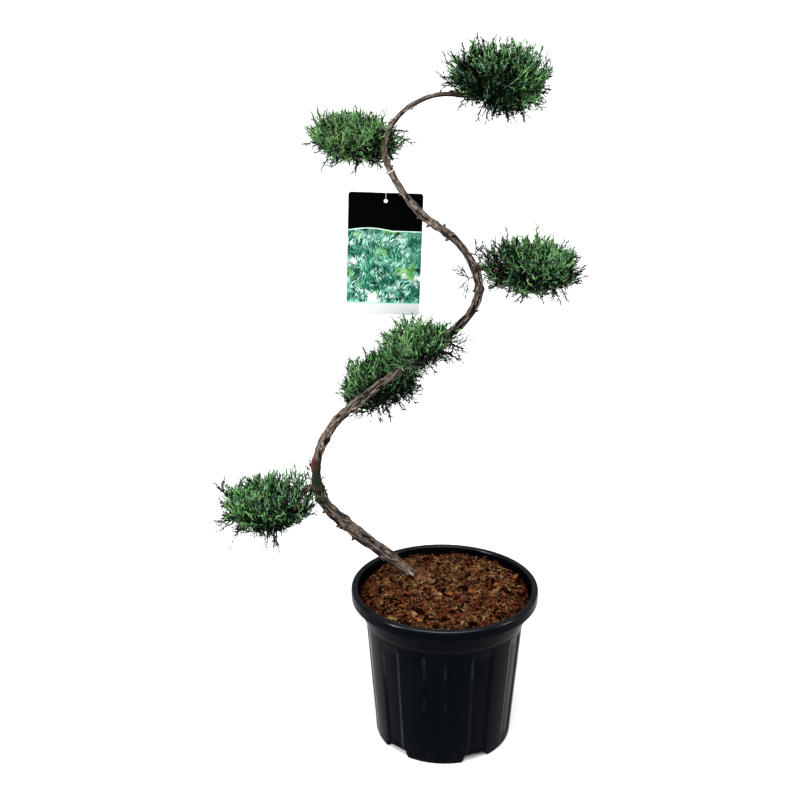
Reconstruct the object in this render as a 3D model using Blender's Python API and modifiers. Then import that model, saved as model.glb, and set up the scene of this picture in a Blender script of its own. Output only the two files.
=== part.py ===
"""Potted juniper bonsai with a serpentine trunk, clipped foliage pads and a hanging plant label.

Metres, +Z up. The origin is the centre of the pot's underside, and the front is towards -Y.
Sizes and places below are written in millimetres and turned into metres by MM.
"""

import math
import random

import bmesh
import bpy
from mathutils import Matrix, Vector

MM = 0.001
GAP = 0.3 * MM
UP = Vector((0, 0, 1))
SHARP_ANGLE = math.radians(35)

# The pot: a tapered nursery pot with a turned-over rim, ten pressed-in flutes and five feet.
POT_HEIGHT = 227 * MM
RIM_RADIUS = 129.5 * MM
RIM_MOUTH_RADIUS = 120.5 * MM
RIM_BAND = 15 * MM
RIM_SKIN = 2.5 * MM
RIM_EDGE = 1.4 * MM
COLLAR_RADIUS = 121 * MM
COLLAR_FOOT_RADIUS = 113.5 * MM
COLLAR_FOOT = 185 * MM
COLLAR_STEP = 1.5 * MM
BODY_TOP_RADIUS = 110 * MM
BODY_FOOT_RADIUS = 95.5 * MM
WALL = 3.4 * MM
FLOOR_UNDERSIDE = 12 * MM
FLOOR_THICKNESS = 3.5 * MM
FOOT_WIDTH = 8 * MM
BOSS_RADIUS = 23 * MM
POT_COLUMNS = 60
FLUTES = 10
FLUTE_DEPTH = 2.2 * MM
FLUTE_TOP = 174 * MM
FLUTE_FOOT = 14 * MM
FLUTE_END = 4 * MM
FLUTE_MIDDLE = math.radians(9)
POT_CORNER = 2 * MM
FEET = 5
FOOT_GAP_ANGLE = math.radians(22)
GAP_SPREAD = 1.15
FIRST_GAP_ANGLE = math.radians(-63)
DRAIN_HOLE_RADIUS = 6 * MM
DRAIN_HOLE_CIRCLE = 62 * MM
DRAIN_HOLE_CORNERS = 10

# The potting mix fills the pot to a little under the rim.
GROUND = 218.5 * MM
MIX_FALL = 5 * MM
MIX_PLATEAU_RADIUS = 94 * MM
MIX_CLEARANCE = 0.5 * MM
MIX_COLUMNS = 36

# The trunk, from under the ground to its tip: x, y, z and diameter, in millimetres.
TRUNK_STATIONS = (
    (-14, 37, 193, 16.5),
    (-39, 36, 218, 17),
    (-80, 34, 259, 19),
    (-124, 31, 297, 20.5),
    (-166, 28, 342, 17.6),
    (-176, 26, 386, 14.6),
    (-170, 25, 422, 13.6),
    (-149, 24, 462, 13.8),
    (-118, 23, 491, 13.6),
    (-80, 21, 521, 12.2),
    (-14, 17, 573, 12),
    (29, 8, 618, 11.6),
    (39, 0, 662, 10.8),
    (14, -7, 714, 10.2),
    (-36, -8, 753, 10),
    (-69, 1, 793, 8.6),
    (-82, 9, 833, 7.6),
    (-62, 14, 871, 6.7),
    (-18, 12, 894, 6.2),
    (37, 5, 891, 5.4),
)

# The stations at the outer points of its three bends, and its last one.
BEND_1, BEND_2, BEND_3 = 5, 12, 16
TRUNK_END = len(TRUNK_STATIONS) - 1
TRUNK_NAMES = ("trunk_1_foot", "trunk_2_rise", "trunk_3_return", "trunk_4_leader")
RING_SPACING = 14 * MM
END_RING = 1.5 * MM
LIMB_SAMPLES = 400

# Boughs: name, place on the trunk in stations, tip, lift of the middle, thick and thin end (all mm).
BOUGHS = (
    ("bough_lower_left", BEND_1 - 0.36, (-198, 24, 357), 3, 8.5, 6.5),
    ("bough_right", BEND_2 + 0.4, (68, -2, 665), -3, 7.5, 5.5),
    ("bough_upper_left", BEND_3 - 0.05, (-103, 19, 829), 2, 5.6, 4.6),
)

# Foliage pads: centre and reach in millimetres, lean in degrees, and what the stem grows from:
# a bough's name, or a place on the trunk in stations.
PADS = (
    dict(name="foliage_lower_left", centre=(-247, 26, 335), wide=73, deep=53, up=57, down=62,
         lean=4, grows_from="bough_lower_left", seed=11),
    dict(name="foliage_lower_middle", centre=(-88, 58, 511), wide=66, deep=47, up=44, down=62,
         lean=-24, grows_from=BEND_1 + 3.65, seed=22),
    dict(name="foliage_middle", centre=(-33, -17, 583), wide=61, deep=41, up=39, down=38,
         lean=-12, grows_from=BEND_2 - 2.15, seed=33),
    dict(name="foliage_right", centre=(110, 0, 681), wide=67, deep=55, up=49, down=48,
         lean=2, grows_from="bough_right", seed=44),
    dict(name="foliage_upper_left", centre=(-121, 33, 839), wide=69, deep=51, up=46, down=45,
         lean=4, grows_from="bough_upper_left", seed=55),
    dict(name="foliage_top", centre=(57, 4, 911), wide=70, deep=58, up=52, down=51,
         lean=3, grows_from=TRUNK_END, seed=67),
)
# The core's reach, the sprays' roots and tips and the long twigs' ends are shares of the pad's reach.
CORE_SHARE = 0.58
LEAST_CORE_SHARE = 0.35
CORE_STEP = 0.03
CORE_LUMPS = (0.84, 1.0)
CORE_CLEARANCE = 5 * MM
SPRAYS_PER_PAD = 39
ROOT_SHARE = 0.62
SPRAY_TIPS = (0.88, 1.0)
SPRAY_LIFT = 0.12
SPRAY_JITTER = 0.12
SPRAY_THICKNESS = 1.6 * MM
LONG_TWIGS_PER_PAD = 4
TWIG_END = 0.84
TWIG_SPRAY_TIP = 1.12
TWIG_DROOP = 0.1
TWIG_JITTER = 0.5
TWIG_DIAMETERS = (2.4 * MM, 1.2 * MM)
SIDE_SPRAY_SHIFT = 9 * MM
LIMB_CLEARANCE = 2.5 * MM
PAD_CLEARANCE = 1.02

# A spray's outline by its number of prongs: share of its length, and half width as such a share.
SPRAY_OUTLINES = {
    5: ((0, 0.045), (0.25, 0.06), (0.58, 0.30), (0.48, 0.08), (0.82, 0.22), (0.74, 0.055), (1, 0)),
    3: ((0, 0.05), (0.30, 0.06), (0.74, 0.27), (0.58, 0.07), (1, 0)),
}
SPRAY_MIDDLE = 0.42

# A sparse shoot on the inner side of the second bend: its place on the trunk, fork and tips (mm).
SHOOT_PLACE = BEND_2 + 0.1
SHOOT_FORK = (25.5, -4, 667)
SHOOT_TIPS = ((12, -9, 685), (13, -3, 652), (20, -8, 642))
SHOOT_DIAMETERS = (2.6 * MM, 1.8 * MM)

# The label: a plastic card that hangs by a doubled string from a tie round the trunk.
LABEL_WIDTH = 94 * MM
LABEL_HEIGHT = 158 * MM
LABEL_THICKNESS = 0.8 * MM
LABEL_CORNER = 4 * MM
LABEL_HOLE_RADIUS = 2.4 * MM
LABEL_HOLE_DROP = 10.5 * MM
HOLE_CORNERS = 12
LABEL_ROLL = math.radians(1.8)
STRING_RADIUS = 0.45 * MM
STRING_DROP = 32 * MM
STRING_SPREAD = 1.4 * MM
LABEL_CLEARANCE = 6 * MM
TIE_STATION = BEND_3 - 0.8
TIE_THICKNESS = 1.0 * MM
TIE_CORNERS = 16
KNOT_RADIUS = 1.6 * MM
KNOT_SHIFT = Vector((-1.5, 0, -0.2)) * MM

# The string's front strand: how far it stands off (1 is the whole spread) and share of the way down.
STRING_ROUTE = ((0, 0), (0.5, 0.1), (1, 0.45), (1, 0.94), (0.55, 1))


# Scene, collections and materials


def clear_scene():
    """Takes every object of the startup scene away."""
    for obj in list(bpy.data.objects):
        bpy.data.objects.remove(obj, do_unlink=True)


def new_collection(name):
    """A collection of this name, linked to the scene."""
    collection = bpy.data.collections.new(name)
    bpy.context.scene.collection.children.link(collection)
    return collection


def new_material(name, colour, roughness):
    """A Principled surface of one colour and roughness; nothing here is metal."""
    material = bpy.data.materials.new(name)
    material.use_nodes = True
    shader = material.node_tree.nodes["Principled BSDF"]
    shader.inputs["Base Color"].default_value = (*colour, 1)
    shader.inputs["Roughness"].default_value = roughness
    shader.inputs["Metallic"].default_value = 0
    material.diffuse_color = (*colour, 1)
    return material


clear_scene()
PLANT = new_collection("potted_juniper_bonsai")
CUTTERS = new_collection("cutters")
POT_PLASTIC = new_material("pot_plastic", (0.014, 0.017, 0.020), 0.38)
POTTING_MIX = new_material("potting_mix", (0.16, 0.062, 0.028), 0.95)
BARK = new_material("bark", (0.135, 0.098, 0.075), 0.9)
FOLIAGE = new_material("foliage", (0.038, 0.115, 0.045), 0.6)
LABEL_CARD = new_material("label_card", (0.10, 0.26, 0.19), 0.35)
STRING = new_material("string", (0.82, 0.81, 0.78), 0.7)


# Ways of making shapes


def mesh_object(name, bm, material, collection=PLANT):
    """Turns a bmesh into an object of one material."""
    mesh = bpy.data.meshes.new(name)
    bm.to_mesh(mesh)
    bm.free()
    mesh.materials.append(material)
    obj = bpy.data.objects.new(name, mesh)
    collection.objects.link(obj)
    return obj


def made_mesh(obj, weld=0.005 * MM):
    """Replaces a curve or a modified object by its finished mesh, welded and shaded smooth."""
    bpy.context.view_layer.update()
    graph = bpy.context.evaluated_depsgraph_get()
    mesh = bpy.data.meshes.new_from_object(obj.evaluated_get(graph))
    bm = bmesh.new()
    bm.from_mesh(mesh)
    bmesh.ops.remove_doubles(bm, verts=bm.verts, dist=weld)
    bmesh.ops.recalc_face_normals(bm, faces=bm.faces)
    bm.to_mesh(mesh)
    bm.free()
    mesh.shade_smooth()
    mesh.set_sharp_from_angle(angle=SHARP_ANGLE)
    name, place, homes = obj.name, obj.matrix_world.copy(), list(obj.users_collection)
    bpy.data.objects.remove(obj, do_unlink=True)
    made = bpy.data.objects.new(name, mesh)
    made.matrix_world = place
    for home in homes:
        home.objects.link(made)
    return made


def turned(name, profile, columns, material):
    """A profile of (radius, height) points, outer side top to bottom, turned about the Z axis."""
    bm = bmesh.new()
    points = [bm.verts.new((radius, 0, height)) for radius, height in profile]
    for a, b in zip(points, points[1:]):
        bm.edges.new((a, b))
    obj = mesh_object(name, bm, material)
    screw = obj.modifiers.new("turn", "SCREW")
    screw.steps = screw.render_steps = columns
    screw.use_merge_vertices = True
    screw.merge_threshold = 0.01 * MM
    return made_mesh(obj)


def tube(name, points, radii, material, sides_setting=3, cyclic=False):
    """A tube along points, with its own radius at each, capped unless it is cyclic."""
    curve = bpy.data.curves.new(name, "CURVE")
    curve.dimensions = "3D"
    curve.bevel_depth = 1
    curve.bevel_resolution = sides_setting
    curve.use_fill_caps = not cyclic
    spline = curve.splines.new("POLY")
    spline.points.add(len(points) - 1)
    for spot, point, radius in zip(spline.points, points, radii):
        spot.co = (*point, 1)
        spot.radius = radius
    spline.use_cyclic_u = cyclic
    curve.materials.append(material)
    obj = bpy.data.objects.new(name, curve)
    PLANT.objects.link(obj)
    return made_mesh(obj)


def unite(base, collection):
    """Joins a collection's objects to base by one Boolean union, applies it and removes them."""
    union = base.modifiers.new("union", "BOOLEAN")
    union.operation = "UNION"
    union.operand_type = "COLLECTION"
    union.collection = collection
    union.solver = "EXACT"
    joined = made_mesh(base, weld=0.002 * MM)
    for obj in list(collection.objects):
        bpy.data.objects.remove(obj, do_unlink=True)
    bpy.data.collections.remove(collection)
    return joined


def frame_along(direction, roll=0.0):
    """A rotation that turns +Z to direction, after a roll about it."""
    return direction.to_track_quat("Z", "Y").to_matrix().to_4x4() @ Matrix.Rotation(roll, 4, "Z")


# Pot


def body_radius(height):
    """Outer radius of the pot's tapered wall at a height."""
    return BODY_FOOT_RADIUS + (BODY_TOP_RADIUS - BODY_FOOT_RADIUS) * height / COLLAR_FOOT


def wall_profile():
    """The inner line of the pot's wall, from the floor's edge up to the mouth."""
    floor = FLOOR_UNDERSIDE + FLOOR_THICKNESS
    band_foot = POT_HEIGHT - RIM_BAND
    return [
        (body_radius(floor) - WALL, floor),
        (BODY_TOP_RADIUS - WALL, COLLAR_FOOT - COLLAR_STEP),
        (COLLAR_FOOT_RADIUS - WALL, COLLAR_FOOT + COLLAR_STEP),
        (COLLAR_RADIUS - WALL, band_foot),
        (RIM_MOUTH_RADIUS, POT_HEIGHT - RIM_EDGE),
    ]


def pot_profile():
    """The pot's whole section, from the middle of its floor, up the inside and down the outside."""
    floor = FLOOR_UNDERSIDE + FLOOR_THICKNESS
    band_foot = POT_HEIGHT - RIM_BAND
    rim_underside = POT_HEIGHT - RIM_SKIN - RIM_EDGE
    rim = [
        (RIM_MOUTH_RADIUS + RIM_EDGE, POT_HEIGHT),
        (RIM_RADIUS - RIM_EDGE, POT_HEIGHT),
        (RIM_RADIUS, POT_HEIGHT - RIM_EDGE),
        (RIM_RADIUS, band_foot),
        (RIM_RADIUS - RIM_SKIN, band_foot),
        (RIM_RADIUS - RIM_SKIN, rim_underside),
        (RIM_MOUTH_RADIUS + RIM_SKIN, rim_underside),
    ]
    outside = [
        (COLLAR_RADIUS, band_foot),
        (COLLAR_FOOT_RADIUS, COLLAR_FOOT + COLLAR_STEP),
        (BODY_TOP_RADIUS, COLLAR_FOOT - COLLAR_STEP),
        (body_radius(FLUTE_TOP), FLUTE_TOP),
        (body_radius(FLUTE_TOP - FLUTE_END), FLUTE_TOP - FLUTE_END),
        (body_radius(FLUTE_FOOT), FLUTE_FOOT),
        (body_radius(POT_CORNER), POT_CORNER),
        (BODY_FOOT_RADIUS - POT_CORNER / 2, 0),
    ]
    underside = [
        (BODY_FOOT_RADIUS - FOOT_WIDTH, 0),
        (BODY_FOOT_RADIUS - FOOT_WIDTH, FLOOR_UNDERSIDE),
        (BOSS_RADIUS, FLOOR_UNDERSIDE),
        (BOSS_RADIUS, 0),
        (0, 0),
    ]
    return [(0, floor)] + wall_profile() + rim + outside + underside


def press_flutes(pot):
    """Pushes every other group of wall columns inwards, between the flutes' two ends."""
    slack = 0.1 * MM
    period = math.tau / FLUTES
    pot.data.transform(Matrix.Rotation(math.pi / POT_COLUMNS, 4, "Z"))
    for vertex in pot.data.vertices:
        radius = math.hypot(vertex.co.x, vertex.co.y)
        outside = radius > body_radius(vertex.co.z) - WALL / 2
        between = FLUTE_FOOT - slack < vertex.co.z < FLUTE_TOP - FLUTE_END + slack
        angle = math.atan2(vertex.co.y, vertex.co.x) - FLUTE_MIDDLE
        from_middle = abs((angle + period / 2) % period - period / 2)
        if outside and between and from_middle < period / 4:
            vertex.co.xy *= (radius - FLUTE_DEPTH) / radius


def make_cutter(name, bm, place):
    """A cutter: it takes part in the Boolean but isn't rendered."""
    cutter = mesh_object(name, bm, POT_PLASTIC, CUTTERS)
    cutter.matrix_world = place
    cutter.hide_render = True
    cutter.display_type = "WIRE"


def make_pot_cutters():
    """Tapered blocks that cut the foot ring into five feet, and a drain hole in line with each."""
    for i in range(FEET):
        turn = Matrix.Rotation(FIRST_GAP_ANGLE + i * math.tau / FEET, 4, "Z")
        bm = bmesh.new()
        bmesh.ops.create_cube(bm, size=1)
        width = 2 * BODY_FOOT_RADIUS * math.sin(FOOT_GAP_ANGLE / 2)
        for vertex in bm.verts:
            low = vertex.co.z < 0
            vertex.co.y *= width * (GAP_SPREAD if low else 1 / GAP_SPREAD)
            vertex.co.x *= 3 * FOOT_WIDTH
            vertex.co.z = -FLOOR_UNDERSIDE / 4 if low else FLOOR_UNDERSIDE + POT_CORNER / 2
        out = Matrix.Translation((BODY_FOOT_RADIUS - FOOT_WIDTH / 3, 0, 0))
        make_cutter(f"foot_gap_{i + 1}", bm, turn @ out)
        bm = bmesh.new()
        bmesh.ops.create_cone(
            bm, cap_ends=True, segments=DRAIN_HOLE_CORNERS,
            radius1=DRAIN_HOLE_RADIUS, radius2=DRAIN_HOLE_RADIUS, depth=3 * FLOOR_THICKNESS,
        )
        out = Matrix.Translation((DRAIN_HOLE_CIRCLE, 0, FLOOR_UNDERSIDE + FLOOR_THICKNESS / 2))
        make_cutter(f"drain_hole_{i + 1}", bm, turn @ out)


def make_pot():
    pot = turned("pot", pot_profile(), POT_COLUMNS, POT_PLASTIC)
    press_flutes(pot)
    make_pot_cutters()
    cut = pot.modifiers.new("feet_and_drain_holes", "BOOLEAN")
    cut.operation = "DIFFERENCE"
    cut.operand_type = "COLLECTION"
    cut.collection = CUTTERS
    cut.solver = "EXACT"
    return pot


# Potting mix


def make_potting_mix():
    """The packed mix: it follows the pot's inner wall, with a flat top that falls off towards the wall."""
    top = GROUND - GAP
    wall = [(radius - MIX_CLEARANCE, height + MIX_CLEARANCE) for radius, height in wall_profile()]
    edge_radius = COLLAR_RADIUS - WALL - MIX_CLEARANCE
    profile = [(0, top), (MIX_PLATEAU_RADIUS, top), (edge_radius, top - MIX_FALL)]
    profile += [wall[2], wall[1], wall[0], (0, wall[0][1])]
    return turned("potting_mix", profile, MIX_COLUMNS, POTTING_MIX)


# Trunk


def trunk_at(place):
    """Point and radius at a place counted in stations, on a Catmull-Rom curve through them."""
    i = min(int(place), TRUNK_END - 1)
    t = place - i
    rows = [TRUNK_STATIONS[min(max(k, 0), TRUNK_END)] for k in (i - 1, i, i + 1, i + 2)]
    before, start, end, after = [Vector(row[:3]) for row in rows]
    point = 0.5 * (
        2 * start
        + (end - before) * t
        + (2 * before - 5 * start + 4 * end - after) * t**2
        + (3 * start - before - 3 * end + after) * t**3
    )
    ease = t * t * (3 - 2 * t)
    diameter = rows[1][3] * (1 - ease) + rows[2][3] * ease
    return point * MM, diameter * MM / 2


def trunk_direction(place):
    """Direction in which the trunk grows at a place."""
    step = 0.02
    ahead, _ = trunk_at(min(place + step, TRUNK_END))
    behind, _ = trunk_at(max(place - step, 0))
    return (ahead - behind).normalized()


def knobbly(radius, place):
    """Old nodes swell the trunk a little, every half station or so."""
    return radius * (1 + 0.05 * math.sin(7.3 * place) + 0.035 * math.sin(17.1 * place + 1))


def even_places(start, end, spacing):
    """Places from start to end whose points lie about spacing apart along the trunk."""
    places = [start + (end - start) * i / LIMB_SAMPLES for i in range(LIMB_SAMPLES + 1)]
    lengths = [0.0]
    for a, b in zip(places, places[1:]):
        lengths.append(lengths[-1] + (trunk_at(b)[0] - trunk_at(a)[0]).length)
    count = max(2, round(lengths[-1] / spacing))
    wanted = [lengths[-1] * k / count for k in range(count + 1)]
    found = []
    i = 0
    for target in wanted:
        while i < LIMB_SAMPLES and lengths[i] < target:
            i += 1
        found.append(places[i])
    return found


def trunk_length(name, start, end):
    """One length of the trunk. Its end faces stand square to the trunk, half a gap short of the bend."""
    places = even_places(start, end, RING_SPACING)
    points = [trunk_at(place)[0] for place in places]
    radii = [knobbly(trunk_at(place)[1], place) for place in places]
    for at_end, place in ((0, start), (-1, end)):
        inward = trunk_direction(place) * (1 if at_end == 0 else -1)
        joint, joint_radius = points[at_end], radii[at_end]
        inner = joint + inward * END_RING
        points[at_end] = joint + inward * GAP / 2
        points.insert(1 if at_end == 0 else -1, inner)
        radii.insert(1 if at_end == 0 else -1, joint_radius)
    return tube(name, points, radii, BARK)


def cut_at_ground(trunk):
    """Cuts the foot flat at ground level and closes the cut."""
    bm = bmesh.new()
    bm.from_mesh(trunk.data)
    shape = list(bm.verts) + list(bm.edges) + list(bm.faces)
    cut = bmesh.ops.bisect_plane(bm, geom=shape, plane_co=(0, 0, GROUND), plane_no=UP, clear_inner=True)
    rim = [edge for edge in cut["geom_cut"] if isinstance(edge, bmesh.types.BMEdge)]
    bmesh.ops.edgeloop_fill(bm, edges=rim)
    bmesh.ops.recalc_face_normals(bm, faces=bm.faces)
    bm.to_mesh(trunk.data)
    bm.free()


def make_trunk():
    ends = (0, BEND_1, BEND_2, BEND_3, TRUNK_END)
    lengths = [trunk_length(name, a, b) for name, a, b in zip(TRUNK_NAMES, ends, ends[1:])]
    cut_at_ground(lengths[0])


# The tie round the trunk, which the label's string hangs from


def tie_points():
    """The corners of the ring of cord, which stands a gap off the bark."""
    point, radius = trunk_at(TIE_STATION)
    place = Matrix.Translation(point) @ frame_along(trunk_direction(TIE_STATION))
    ring_radius = knobbly(radius, TIE_STATION) + GAP + TIE_THICKNESS / 2
    angles = [math.tau * i / TIE_CORNERS for i in range(TIE_CORNERS)]
    return [place @ Vector((ring_radius * math.cos(a), ring_radius * math.sin(a), 0)) for a in angles]


KNOT_CENTRE = min(tie_points(), key=lambda point: point.z) + KNOT_SHIFT
LABEL_PIVOT = KNOT_CENTRE - UP * (KNOT_RADIUS + GAP + STRING_RADIUS)
HANGING = Matrix.Translation(LABEL_PIVOT) @ Matrix.Rotation(LABEL_ROLL, 4, "Y")


def make_tie():
    """A ring of cord round the trunk with a knot on its lowest corner."""
    tie = tube("label_tie", tie_points(), [TIE_THICKNESS / 2] * TIE_CORNERS, STRING, 2, cyclic=True)
    pieces = new_collection("tie_pieces")
    bm = bmesh.new()
    bmesh.ops.create_uvsphere(bm, u_segments=8, v_segments=6, radius=KNOT_RADIUS)
    knot = mesh_object("knot", bm, STRING, pieces)
    knot.location = KNOT_CENTRE
    return unite(tie, pieces)


# Boughs


def bough_route(place, tip, lift, thick, thin, steps=5):
    """Points and radii of a bough that leaves the trunk's side and arches to its tip."""
    root, trunk_radius = trunk_at(place)
    tip = Vector(tip) * MM
    along = trunk_direction(place)
    outward = tip - root
    outward = (outward - along * outward.dot(along)).normalized()
    start = root + outward * (knobbly(trunk_radius, place) + GAP)
    shoulder = start + outward * thick * MM / 2
    middle = (shoulder + tip) / 2 + UP * lift * MM
    points, radii = [start], [thick * MM / 2]
    for i in range(steps + 1):
        t = i / steps
        points.append(shoulder * (1 - t) ** 2 + middle * 2 * t * (1 - t) + tip * t**2)
        radii.append((thick * (1 - t) + thin * t) * MM / 2)
    return points, radii


def make_boughs():
    """Makes the boughs and returns each one's tip, and its direction there."""
    tips = {}
    for name, place, tip, lift, thick, thin in BOUGHS:
        points, radii = bough_route(place, tip, lift, thick, thin)
        tube(name, points, radii, BARK, 2)
        tips[name] = (points[-1], (points[-1] - points[-2]).normalized(), radii[-1])
    return tips


# Foliage


def limb_points():
    """Points along the trunk and the boughs, with the radius at each, to keep foliage clear of."""
    found = [trunk_at(TRUNK_END * i / LIMB_SAMPLES) for i in range(LIMB_SAMPLES + 1)]
    for _, place, tip, lift, thick, thin in BOUGHS:
        points, radii = bough_route(place, tip, lift, thick, thin, steps=16)
        found += list(zip(points, radii))
    return found


LIMBS = limb_points()


def clear_of_limbs(points, clearance=LIMB_CLEARANCE):
    return all((point - spot).length > radius + clearance for point in points for spot, radius in LIMBS)


def clear_of_label(points):
    """The label hangs and swings back behind this box's front face."""
    left = LABEL_PIVOT.x - LABEL_WIDTH / 2 - LABEL_CLEARANCE
    right = LABEL_PIVOT.x + LABEL_WIDTH / 2 + LABEL_CLEARANCE
    foot = LABEL_PIVOT.z - STRING_DROP - LABEL_HEIGHT
    top = LABEL_PIVOT.z + LABEL_CLEARANCE / 3
    front = LABEL_PIVOT.y - LABEL_CLEARANCE / 2
    return not any(left < p.x < right and foot < p.z < top and p.y > front for p in points)


class Pad:
    """A clipped pad of foliage: an ellipsoid, unlike above and below, that leans in the picture's plane."""

    def __init__(self, row):
        self.name = row["name"]
        self.centre = Vector(row["centre"]) * MM
        self.wide, self.deep = row["wide"] * MM, row["deep"] * MM
        self.up, self.down = row["up"] * MM, row["down"] * MM
        self.lean = Matrix.Rotation(math.radians(row["lean"]), 3, "Y")
        self.grows_from = row["grows_from"]
        self.seed = row["seed"]

    def surface(self, way, share=1.0):
        """The point that lies this share of the reach from the centre, in a direction."""
        tall = self.up if way.z > 0 else self.down
        local = Vector((way.x * self.wide, way.y * self.deep, way.z * tall))
        return self.centre + self.lean @ (local * share)

    def core_share(self, way):
        """How far out the core goes in a direction: it stops short of the trunk and the boughs."""
        share = 3 * CORE_STEP
        while share < CORE_SHARE:
            if not clear_of_limbs([self.surface(way, share + CORE_STEP)], CORE_CLEARANCE):
                break
            share += CORE_STEP
        return share

    def depth_of(self, point):
        """How far out a point lies, 1 being the pad's surface."""
        local = self.lean.inverted() @ (point - self.centre)
        tall = self.up if local.z > 0 else self.down
        return Vector((local.x / self.wide, local.y / self.deep, local.z / tall)).length


ALL_PADS = [Pad(row) for row in PADS]


def golden_ways(count, rng, jitter):
    """Directions spread evenly over a sphere by the golden angle, each a little disturbed."""
    golden = math.pi * (3 - math.sqrt(5))
    for i in range(count):
        height = 1 - 2 * (i + 0.5) / count
        ring = math.sqrt(1 - height * height)
        way = Vector((ring * math.cos(golden * i), ring * math.sin(golden * i), height))
        yield (way + Vector([rng.uniform(-jitter, jitter) for _ in range(3)])).normalized()


def keeps_its_space(pad, points):
    """True where a spray keeps clear of limbs, the label and the other pads' spaces."""
    others = [other for other in ALL_PADS if other is not pad]
    return (
        clear_of_limbs(points)
        and clear_of_label(points)
        and all(other.depth_of(point) > PAD_CLEARANCE for other in others for point in points)
    )


def spray_blade(prongs, length, thickness):
    """A toothed blade along +Z: the outline of a juniper spray, thickest along its middle."""
    half = SPRAY_OUTLINES[prongs]
    outline = [(-w, s) for s, w in half[:-1]] + [(0, 1)] + [(w, s) for s, w in reversed(half[:-1])]
    bm = bmesh.new()
    rim = [bm.verts.new((x * length, 0, z * length)) for x, z in outline]
    front = bm.verts.new((0, -thickness / 2, SPRAY_MIDDLE * length))
    back = bm.verts.new((0, thickness / 2, SPRAY_MIDDLE * length))
    for a, b in zip(rim, rim[1:] + rim[:1]):
        bm.faces.new((front, a, b))
        bm.faces.new((back, b, a))
    bmesh.ops.recalc_face_normals(bm, faces=bm.faces)
    return bm


def add_spray(root, tip, roll, prongs, collection):
    """Puts one spray between two points."""
    bm = spray_blade(prongs, (tip - root).length, SPRAY_THICKNESS)
    spray = mesh_object("spray", bm, FOLIAGE, collection)
    spray.matrix_world = Matrix.Translation(root) @ frame_along(tip - root, roll)


def spray_reach(root, tip, roll):
    """The points of a spray that its space and its neighbours are tested with."""
    length = (tip - root).length
    side = frame_along(tip - root, roll).to_3x3() @ Vector((0.3 * length, 0, 0))
    middle = root + (tip - root) * 0.6
    return [root, root.lerp(tip, 0.3), middle, middle - side, middle + side, root.lerp(tip, 0.8), tip]


def spike(name, root, tip, diameters, collection, sides=3):
    """A tapered twig with flat sides."""
    bm = bmesh.new()
    bmesh.ops.create_cone(
        bm, cap_ends=True, segments=sides, depth=(tip - root).length,
        radius1=diameters[0] / 2, radius2=diameters[1] / 2,
    )
    twig = mesh_object(name, bm, FOLIAGE, collection)
    twig.matrix_world = Matrix.Translation((root + tip) / 2) @ frame_along(tip - root)
    return twig


def core_object(pad, rng):
    """The dense heart of the pad, lumpy, out of which the sprays stand."""
    bm = bmesh.new()
    bmesh.ops.create_icosphere(bm, subdivisions=2, radius=1)
    for vertex in bm.verts:
        way = vertex.co.normalized()
        vertex.co = pad.surface(way, pad.core_share(way) * rng.uniform(*CORE_LUMPS))
    bmesh.ops.recalc_face_normals(bm, faces=bm.faces)
    return mesh_object(pad.name, bm, FOLIAGE)


def stem_start(pad, bough_tips):
    """Where the pad's stem starts, a gap away from its bough's tip or the trunk.

    Returns the point, the direction it sets out in and its radius.
    """
    if pad.grows_from in bough_tips:
        tip, direction, radius = bough_tips[pad.grows_from]
        return tip + direction * GAP, direction, radius * 0.95
    point, radius = trunk_at(pad.grows_from)
    along = trunk_direction(pad.grows_from)
    if pad.grows_from == TRUNK_END:
        return point + along * GAP, along, radius * 0.95
    outward = pad.centre - point
    outward = (outward - along * outward.dot(along)).normalized()
    return point + outward * (knobbly(radius, pad.grows_from) + GAP), outward, radius * 0.6


def add_stem(pad, bough_tips, collection):
    """A stem that sets out square to where it starts and then bends to the pad's heart."""
    start, direction, radius = stem_start(pad, bough_tips)
    knee = start + direction * 2.5 * radius
    heart = knee.lerp(pad.centre, 0.8)
    stem = tube("stem", [start, knee, heart], [radius, radius, radius * 0.6], FOLIAGE, 1)
    PLANT.objects.unlink(stem)
    collection.objects.link(stem)


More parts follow.
